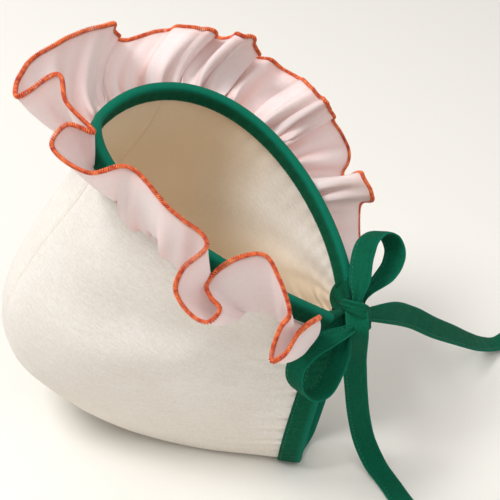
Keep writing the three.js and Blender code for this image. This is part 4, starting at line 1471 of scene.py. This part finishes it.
@dataclass
class Knot:
    """The wrapped middle of the bow."""

    rings: int = 60
    sides: int = 72
    turn_length: float = 26.0

    def build(self, bench: Bench) -> Any:
        """Makes the knot as a closed barrel with the folds of its turn of tie."""
        right, up, toward = bow_axes()
        s = np.linspace(-1, 1, self.rings)[:, None]
        turn = np.linspace(0, 2 * math.pi, self.sides, endpoint=False)[None, :]
        barrel = np.clip(1 - np.abs(s) ** 5, 0, 1) ** 0.5
        waist = 0.9 + 0.1 * np.cos(s * math.pi * 0.5)
        fold = 0.035 * np.sin(s * 11 + 1.4 * np.sin(turn)) + 0.03 * np.sin(s * 17 + turn)
        groove = -0.05 * bell((s - 0.25 * np.sin(turn + 0.6)) / 0.09)
        radius = KNOT_RADIUS * barrel * (waist + fold + groove)
        centre = KNOT_CENTRE + up * (s * KNOT_LENGTH / 2)
        spoke = np.cos(turn)[..., None] * right + np.sin(turn)[..., None] * toward
        points = centre[:, None] + radius[..., None] * spoke
        flat = points.reshape(-1, 3)
        faces: list[tuple[int, ...]] = []
        for i in range(self.rings - 1):
            for k in range(self.sides):
                a, b = i * self.sides + k, i * self.sides + (k + 1) % self.sides
                faces.append((a, a + self.sides, b + self.sides, b))
        piece = bench.mesh("knot_cloth", flat, faces, GREEN_COTTON)
        self.band(bench)
        places = np.stack(np.broadcast_arrays(s * KNOT_LENGTH / 2, turn * KNOT_RADIUS), axis=-1)
        bench.lay_out(piece, places.reshape(-1, 2))
        bench.tone(piece, np.full(len(flat), 0.1))
        return bench.ride(piece, "tie_cloth", "knot")

    def band(self, bench: Bench) -> Any:
        """Makes the turn of tie that crosses the knot's front aslant, over the front tail's start."""
        right, up, toward = bow_axes()
        share = np.linspace(0, 1, 90)
        turn = np.radians(212 - 244 * share)
        radius = 5.6 + 1.7 * np.sin(np.pi * share) ** 0.7
        lift = 5.2 - 6.4 * ease(0.1, 0.95, share)
        half = 3.0 + 2.6 * ease(0.1, 0.9, share)
        x = np.linspace(-1, 1, 25)[None, :]
        out = np.cos(turn)[:, None] * right + np.sin(turn)[:, None] * toward
        fold = 0.3 * np.sin(x * 5 + share[:, None] * 5) + 0.18 * np.sin(x * 11 - share[:, None] * 3)
        bulge = radius[:, None] + fold - 1.5 * np.abs(x) ** 5
        middle = KNOT_CENTRE + up * (lift[:, None] + half[:, None] * x)[..., None]
        sides = [middle + out[:, None] * (bulge + drop)[..., None] for drop in (0.0, -1.1)]
        cloth = np.stack(np.broadcast_arrays(share[:, None] * 25, half[:, None] * x), axis=-1)
        # Painted highlight along the band's edges.
        tone = np.broadcast_to(0.35 * np.abs(x) ** 8, sides[0].shape[:2])
        piece = bench.slab("knot_band", sides[0], sides[1], GREEN_COTTON, (tone, tone), cloth)
        bench.ride(piece, "tie_cloth")
        declare(TIE_WIDTH, self.turn_length, grid_area(sides[0]))
        return piece


@dataclass
class Studio:
    """The floor, the light and the camera at the photograph's angle."""

    offset: np.ndarray
    eye: tuple[float, float, float] = (131.1, -393.4, 420.0)
    lens: float = 86.15
    centre: tuple[float, float] = (208.0, 333.0)
    frame: float = 500.0
    film: float = 36.0
    reach: float = 3.0
    drop: float = -0.0002
    aim: float = 0.06

    def build(self) -> None:
        """Sets up the studio."""
        self.floor()
        self.lights()
        self.camera()

    def floor(self) -> None:
        """Lays the pale floor."""
        mesh = bpy.data.meshes.new("floor")
        ends = [(x * self.reach, y * self.reach, self.drop) for x, y in ((-1, -1), (1, -1), (1, 1), (-1, 1))]
        mesh.from_pydata(ends, [], [(0, 1, 2, 3)])
        material, tree = new_material("pale_floor")
        body = tree.add("ShaderNodeBsdfPrincipled", {}, {"Base Color": (0.82, 0.8, 0.755, 1.0), "Roughness": 0.8})
        tree.add("ShaderNodeOutputMaterial", {}, {"Surface": body})
        mesh.materials.append(material)
        shown("floor", mesh)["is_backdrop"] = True

    def lights(self) -> None:
        """Hangs the soft window light, a low fill and the pale surroundings."""
        world = bpy.data.worlds.new("studio")
        world.use_nodes = True
        back = world.node_tree.nodes["Background"]
        back.inputs["Color"].default_value = (1.0, 0.985, 0.96, 1.0)
        back.inputs["Strength"].default_value = 0.52
        bpy.context.scene.world = world
        bpy.context.scene.view_settings.view_transform = "Standard"
        for name, place, size, power in (
            ("window", (-0.5, -0.42, 1.25), 0.45, 11.5),
            ("back_fill", (-0.9, 0.5, 0.6), 0.8, 2.5),
            ("opening_fill", (0.32, -0.3, 0.75), 0.7, 1.6),
        ):
            lamp = bpy.data.lights.new(name, "AREA")
            lamp.size, lamp.energy = size, power
            light = shown(name, lamp)
            light.location = place
            way = Vector((0.0, 0.0, self.aim)) - Vector(place)
            light.rotation_euler = way.to_track_quat("-Z", "Y").to_euler()

    def camera(self) -> None:
        """Places the camera and aims it so that the frame's middle needs no shift."""
        right, up, toward = bow_axes()
        aside, down = ((self.frame / 2 - at) / self.frame * self.film / self.lens for at in self.centre)
        look = unit(-toward + right * aside - up * down)
        side = unit(np.cross(look, np.array([0.0, 0.0, 1.0])))
        above = np.cross(side, look)
        lens = bpy.data.cameras.new("camera")
        lens.lens, lens.sensor_width, lens.clip_start = self.lens, self.film, 0.01
        lens.sensor_fit = "HORIZONTAL"
        camera = shown("camera", lens)
        place = (np.array(self.eye) + self.offset) * MM
        frame = Matrix([[*row, at] for row, at in zip(np.array([side, above, -look]).T, place)] + [[0, 0, 0, 1]])
        camera.matrix_world = frame
        bpy.context.scene.camera = camera


def corners() -> list[list[float]]:
    """Returns the shown object's lowest and highest corner as plain lists."""
    return [list(map(float, corner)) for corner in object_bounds()]


def main() -> None:
    """Builds the bonnet piece by piece."""
    logging.basicConfig(level=logging.INFO, format="%(message)s")
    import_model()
    low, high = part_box("knot")
    offset = np.array((low + high) / 2) / MM - KNOT_CENTRE
    bench = Bench(offset)
    Studio(offset).build()
    hood = Hood()
    builders: list[Callable[[Bench], Any]] = [
        Crown(hood).build,
        Binding(hood, Edge.FACE).build,
        Binding(hood, Edge.NECK).build,
        Ruffle(hood).build,
        Lead(hood, "tie_lead_near", CORNER).build,
        Lead(hood, "tie_lead_far", 1 - CORNER).build,
        Knot().build,
        loop_ribbon("bow_loop_upper", UPPER_LOOP).build,
        loop_ribbon("bow_loop_lower", LOWER_LOOP).build,
        tail_ribbon("tail_right", RIGHT_TAIL, RIGHT_TAIL_REACH).build,
        tail_ribbon("tail_front", FRONT_TAIL, FRONT_TAIL_REACH).build,
    ]
    for build in builders:
        build(bench)


if __name__ == "__main__":
    main()
